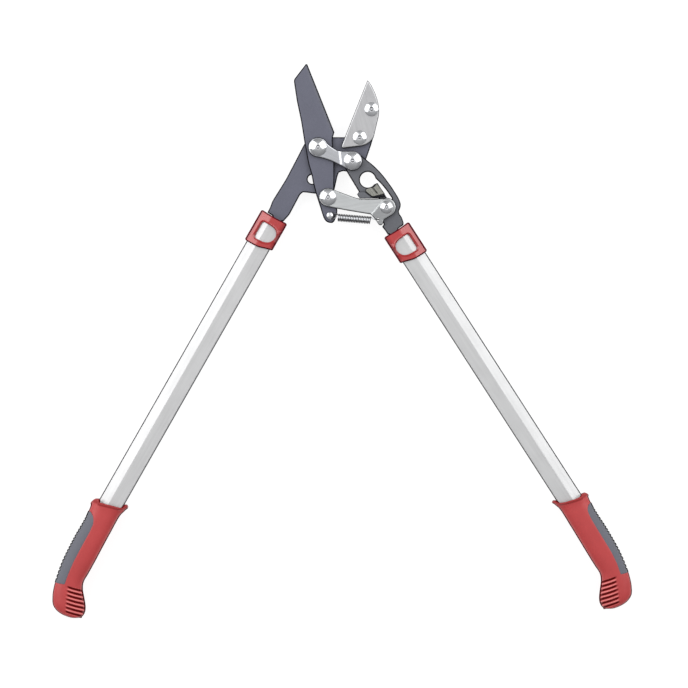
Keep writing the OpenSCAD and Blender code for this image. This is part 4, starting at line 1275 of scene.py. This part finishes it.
def grip(side, reach, e):
    # columns crowd together at the parting seam on both sides
    half = np.concatenate([np.radians([0.0, 0.45, 0.95, 1.1, 1.9]), np.linspace(math.radians(3.6), math.radians(176.4), 66), np.radians([178.1, 178.9, 179.05, 179.55])])
    th = np.concatenate([half, half + math.pi])
    off_seam = np.abs(np.sin(th))[None, :]
    tw = np.abs(np.mod(th + math.pi, 2 * math.pi) - math.pi)
    L = GRIP_S[-1]
    # cup round the tube, rolled lip, then the skin
    rows = [(7.0, -15.0), (7.0, -9.0), (7.0, -5.6), (5.2, -5.1), (3.6, -4.8)]
    cup = len(rows)
    rows += [(LIP * (1 - math.sin(f)), -LIP * (1 + math.cos(f))) for f in np.radians(np.linspace(0, 180, 15))]
    fine = np.concatenate([np.linspace(LIP + 0.4, 9, 14), np.linspace(10.2, 96, 60), np.linspace(96.7, L, 110)])
    for x in fine:
        rows.append((x, -0.95 * float(smooth(LIP, LIP + 2.4, x)) * (1 - float(smooth(7, 22, x)))))
    X = np.array([r[0] for r in rows])[:, None]
    OFF = np.array([r[1] for r in rows])[:, None]
    # seat for the soft pad
    lim = pad_limit(X[:, 0], e)[:, None]
    skin = (np.arange(len(rows)) >= cup + 15)[:, None]
    seat = smooth(0.7, 2.6, (lim - tw[None, :]) * 17.0) * smooth(0.7, 2.6, np.minimum(X - PAD0, PAD1 - X)) * skin
    p = grip_point(X, th[None, :], OFF, side)
    gd, ridge_highlight = grooves(p[..., 0], p[..., 1], p[..., 2])
    hollow = 1.7 * (1 - smooth(2.5, 9.0, np.abs(p[..., 2]))) * skin * (off_seam > 0.0175)
    p = grip_point(X, th[None, :], OFF - 1.8 * gd - 1.9 * seat - 0.1 - 0.3 * smooth(80, 110, X) - hollow, side)
    # painted shade: the mark darkens the grooves, the sides and the lip's bead; below nought it paints a highlight on
    # the ridges between the grooves
    sides = 1 - smooth(3.0, 9.5, np.abs(p[..., 2]))
    bead = 1 - smooth(LIP + 0.6, LIP + 1.6, X)
    mark = np.clip(np.maximum(np.maximum(gd * 1.5, 0.7 * sides), 0.45 * bead), 0, 1)
    mark = mark - 0.9 * ridge_highlight * skin
    # dark trim, as painted shade, along the parting seam, inside the cup and on the lip's steps down to the tube; the
    # cup and the lip's first rows are marked dark too
    trim = (off_seam < 0.0201) * skin * np.ones_like(gd)
    mark[:cup + 4] = 1.0
    trim[:cup + 3] = 1.0
    step_down = ((tw > 0.92) & (tw < 1.16)) | ((tw > math.pi - 0.82) & (tw < math.pi - 0.54))
    trim[cup:cup + 10, step_down] = 1.0
    # rounded nose
    last = p[-1]
    c = last.mean(0)
    step = p[-1].mean(0) - p[-3].mean(0)
    step /= np.linalg.norm(step)
    extra = [c + (last - c) * math.cos(a) + step * 1.2 * math.sin(a) for a in np.radians([25, 50, 70, 84])]
    p = np.concatenate([p, np.array(extra)])
    mark = np.concatenate([mark, np.repeat(mark[-1:], 4, 0)])
    trim = np.concatenate([trim, np.repeat(trim[-1:], 4, 0)])
    xyz = on_handle(side, reach + p[..., 0], p[..., 1], p[..., 2])
    sh = grid(xyz, mark, close_v=True, poles=(True, True))
    sh.trim = list(trim.reshape(-1)) + [1.0, 0.0]
    return sh


def pad(side, reach, e):
    m, n = 250, 49
    x = np.linspace(PAD0, PAD1, m)
    lim = np.convolve(np.pad(pad_limit(x, e), 3, mode="edge"), np.ones(7) / 7, mode="valid")
    tau = np.concatenate([np.linspace(-1, -0.06, 22), [-0.021, -0.016, 0.0, 0.016, 0.021], np.linspace(0.06, 1, 22)])
    th = lim[:, None] * tau[None, :]
    X = np.broadcast_to(x[:, None], th.shape)
    # serrations round the outer edge
    pitch = 4.4
    ph = np.mod(X - PAD0 - 9.0, pitch) / pitch
    tooth = np.where(ph < 0.46, np.sin(math.pi * ph / 0.46), 0.0)
    zone = (1 - smooth(0.42, 0.78, np.abs(th))) * smooth(PAD0 + 8, PAD0 + 11, X) * (1 - smooth(PAD1 - 5, PAD1 - 3, X))
    cut = tooth * zone
    # the border rolls down into its seat
    rim_t = np.clip((1 - np.abs(tau))[None, :] * lim[:, None] * 17.0, 0, 1.2) / 1.2
    rim_x = np.clip(np.minimum(X - PAD0, PAD1 - X), 0, 1.2) / 1.2
    rim = np.minimum(rim_t, rim_x)
    fall = 1 - np.sqrt(np.clip(1 - (1 - rim) ** 2, 0, 1))
    rib = (np.abs(tau) < 0.017)[None, :]
    top = 0.0 - 0.75 * fall - 1.05 * cut - 1.5 * (1 - smooth(0.06, 0.7, np.abs(th))) * ~rib
    pt = grip_point(X, th, top, side)
    pb = grip_point(X, th, np.full(th.shape, -2.7), side)
    # painted shade in the serrations, along the border and towards the grip's outer side
    mark = np.clip(cut * 1.1 + 0.8 * (rim < 0.25) + 0.5 * (1 - smooth(0.2, 0.75, np.abs(th))), 0, 1)
    sh = Shape()
    A = sh.add(on_handle(side, reach + pt[..., 0], pt[..., 1], pt[..., 2]).reshape(-1, 3), mark.reshape(-1))
    B = sh.add(on_handle(side, reach + pb[..., 0], pb[..., 1], pb[..., 2]).reshape(-1, 3), 1.0)
    # dark trim along the pad's middle line at the grip's outer side: painted shade
    sh.trim = list(np.broadcast_to((np.abs(tau) < 0.03)[None, :], th.shape).astype(float).reshape(-1)) + [0.0] * pb[..., 0].size
    for k in range(m - 1):
        for j in range(n - 1):
            v = k * n + j
            sh.f.append((A + v, A + v + 1, A + v + n + 1, A + v + n))
            sh.f.append((B + v, B + v + n, B + v + n + 1, B + v + 1))
    ring = [j for j in range(n)] + [k * n + n - 1 for k in range(1, m)] + [(m - 1) * n + j for j in range(n - 2, -1, -1)] + [k * n for k in range(m - 2, 0, -1)]
    for k in range(len(ring)):
        p0, p1 = ring[k], ring[(k + 1) % len(ring)]
        sh.f.append((A + p0, B + p0, B + p1, A + p1))
    return sh


piece("left_grip_body", grip("left", LEFT_REACH, 0.0), "anvil_side", ["left_grip"], RED, weighted=False, trim=RED_SEAM, trim_from=0.6)
piece("right_grip_body", grip("right", RIGHT_REACH, 3.5), "drive_side", ["right_grip"], RED, weighted=False, trim=RED_SEAM, trim_from=0.6)
piece("left_grip_pad_skin", pad("left", LEFT_REACH, 0.0), "anvil_side", ["left_grip_pad"], PAD, weighted=False, sharp=60, trim=PAD_EDGE)
piece("right_grip_pad_skin", pad("right", RIGHT_REACH, 3.5), "drive_side", ["right_grip_pad"], PAD, weighted=False, sharp=60, trim=PAD_EDGE)

# ---------------------------------------------------------------------------
# Parts carried over as they are: liners and cross pins
# ---------------------------------------------------------------------------
for name, mat in (("left_tube_insert", LINER), ("right_tube_insert", LINER), ("left_tang_pins", ZINC), ("right_tang_pins", ZINC)):
    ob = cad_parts[name]
    ob.data.materials.clear()
    ob.data.materials.append(mat)

# ---------------------------------------------------------------------------
# Stage, light and camera
# ---------------------------------------------------------------------------
SKY = 0.62
scene = bpy.context.scene
bm = bmesh.new()
bmesh.ops.create_circle(bm, cap_ends=True, cap_tris=False, segments=96, radius=14.0)
me = bpy.data.meshes.new("floor")
bm.to_mesh(me)
bm.free()
floor = bpy.data.objects.new("floor", me)
floor.location = (0, 0, -0.0002)
scene.collection.objects.link(floor)
fm = Mat("pale_floor").set(Metallic=0.0, Roughness=0.85)
fm.set(Emission_Color=(1, 1, 1, 1), Emission_Strength=0.86)
fm.colour(fm.ramp(fm.noise(3, 2, 0.5), [(0.3, (0.20, 0.20, 0.20)), (0.7, (0.21, 0.21, 0.21))]))
me.materials.append(fm.m)

world = bpy.data.worlds.new("studio")
scene.world = world
world.use_nodes = True
wt = world.node_tree
bg = wt.nodes["Background"]
# a soft sky: bright overhead, falling off to a dim horizon and towards the near side
tc = wt.nodes.new("ShaderNodeTexCoord")
sep = wt.nodes.new("ShaderNodeSeparateXYZ")
wt.links.new(tc.outputs["Generated"], sep.inputs[0])
sky = wt.nodes.new("ShaderNodeValToRGB")
for el, (pos, v) in zip([sky.color_ramp.elements[0], sky.color_ramp.elements[1], *[sky.color_ramp.elements.new(0.5) for _ in range(2)]],
                        [(0.0, 0.32), (1.0, SKY), (0.4, 0.45), (0.9, SKY)]):
    el.position = pos
    el.color = (v * 0.985, v * 0.99, v, 1)
wt.links.new(sep.outputs["Z"], sky.inputs["Fac"])
near = wt.nodes.new("ShaderNodeMapRange")
near.inputs["From Min"].default_value = -0.75
near.inputs["From Max"].default_value = 0.3
near.inputs["To Min"].default_value = 0.75
near.inputs["To Max"].default_value = 1.0
wt.links.new(sep.outputs["Y"], near.inputs["Value"])
wt.links.new(sky.outputs["Color"], bg.inputs["Color"])
wt.links.new(near.outputs["Result"], bg.inputs["Strength"])


def softbox(name, direction, distance, size, size_y, power):
    ld = bpy.data.lights.new(name, "AREA")
    ld.shape = "RECTANGLE"
    ld.size, ld.size_y = size, size_y
    ld.energy = power
    ob = bpy.data.objects.new(name, ld)
    d = Vector(direction).normalized()
    ob.location = d * distance
    ob.rotation_euler = d.to_track_quat("Z", "Y").to_euler()
    ob.visible_camera = False
    scene.collection.objects.link(ob)
    return ob


def tilt(az, deg):
    a, t = math.radians(az), math.radians(deg)
    return (math.cos(a) * math.sin(t), math.sin(a) * math.sin(t), math.cos(t))


softbox("softbox_left", tilt(153, 52), 2.6, 2.9, 2.4, 55)
softbox("softbox_right", tilt(33, 52), 2.6, 2.6, 2.4, 43)

cam_data = bpy.data.cameras.new("camera")
cam_data.sensor_width = 36.0
cam_data.lens = 250.0
cam = bpy.data.objects.new("camera", cam_data)
cam.location = (0.002425, -0.003575, 0.017 + 0.860 * 250.0 / 36.0)
cam.rotation_euler = (0, 0, 0)
cam_data.clip_end = 100
scene.collection.objects.link(cam)
scene.camera = cam
scene.view_settings.view_transform = "Standard"
scene.view_settings.look = "None"
scene.view_settings.exposure = 0.0
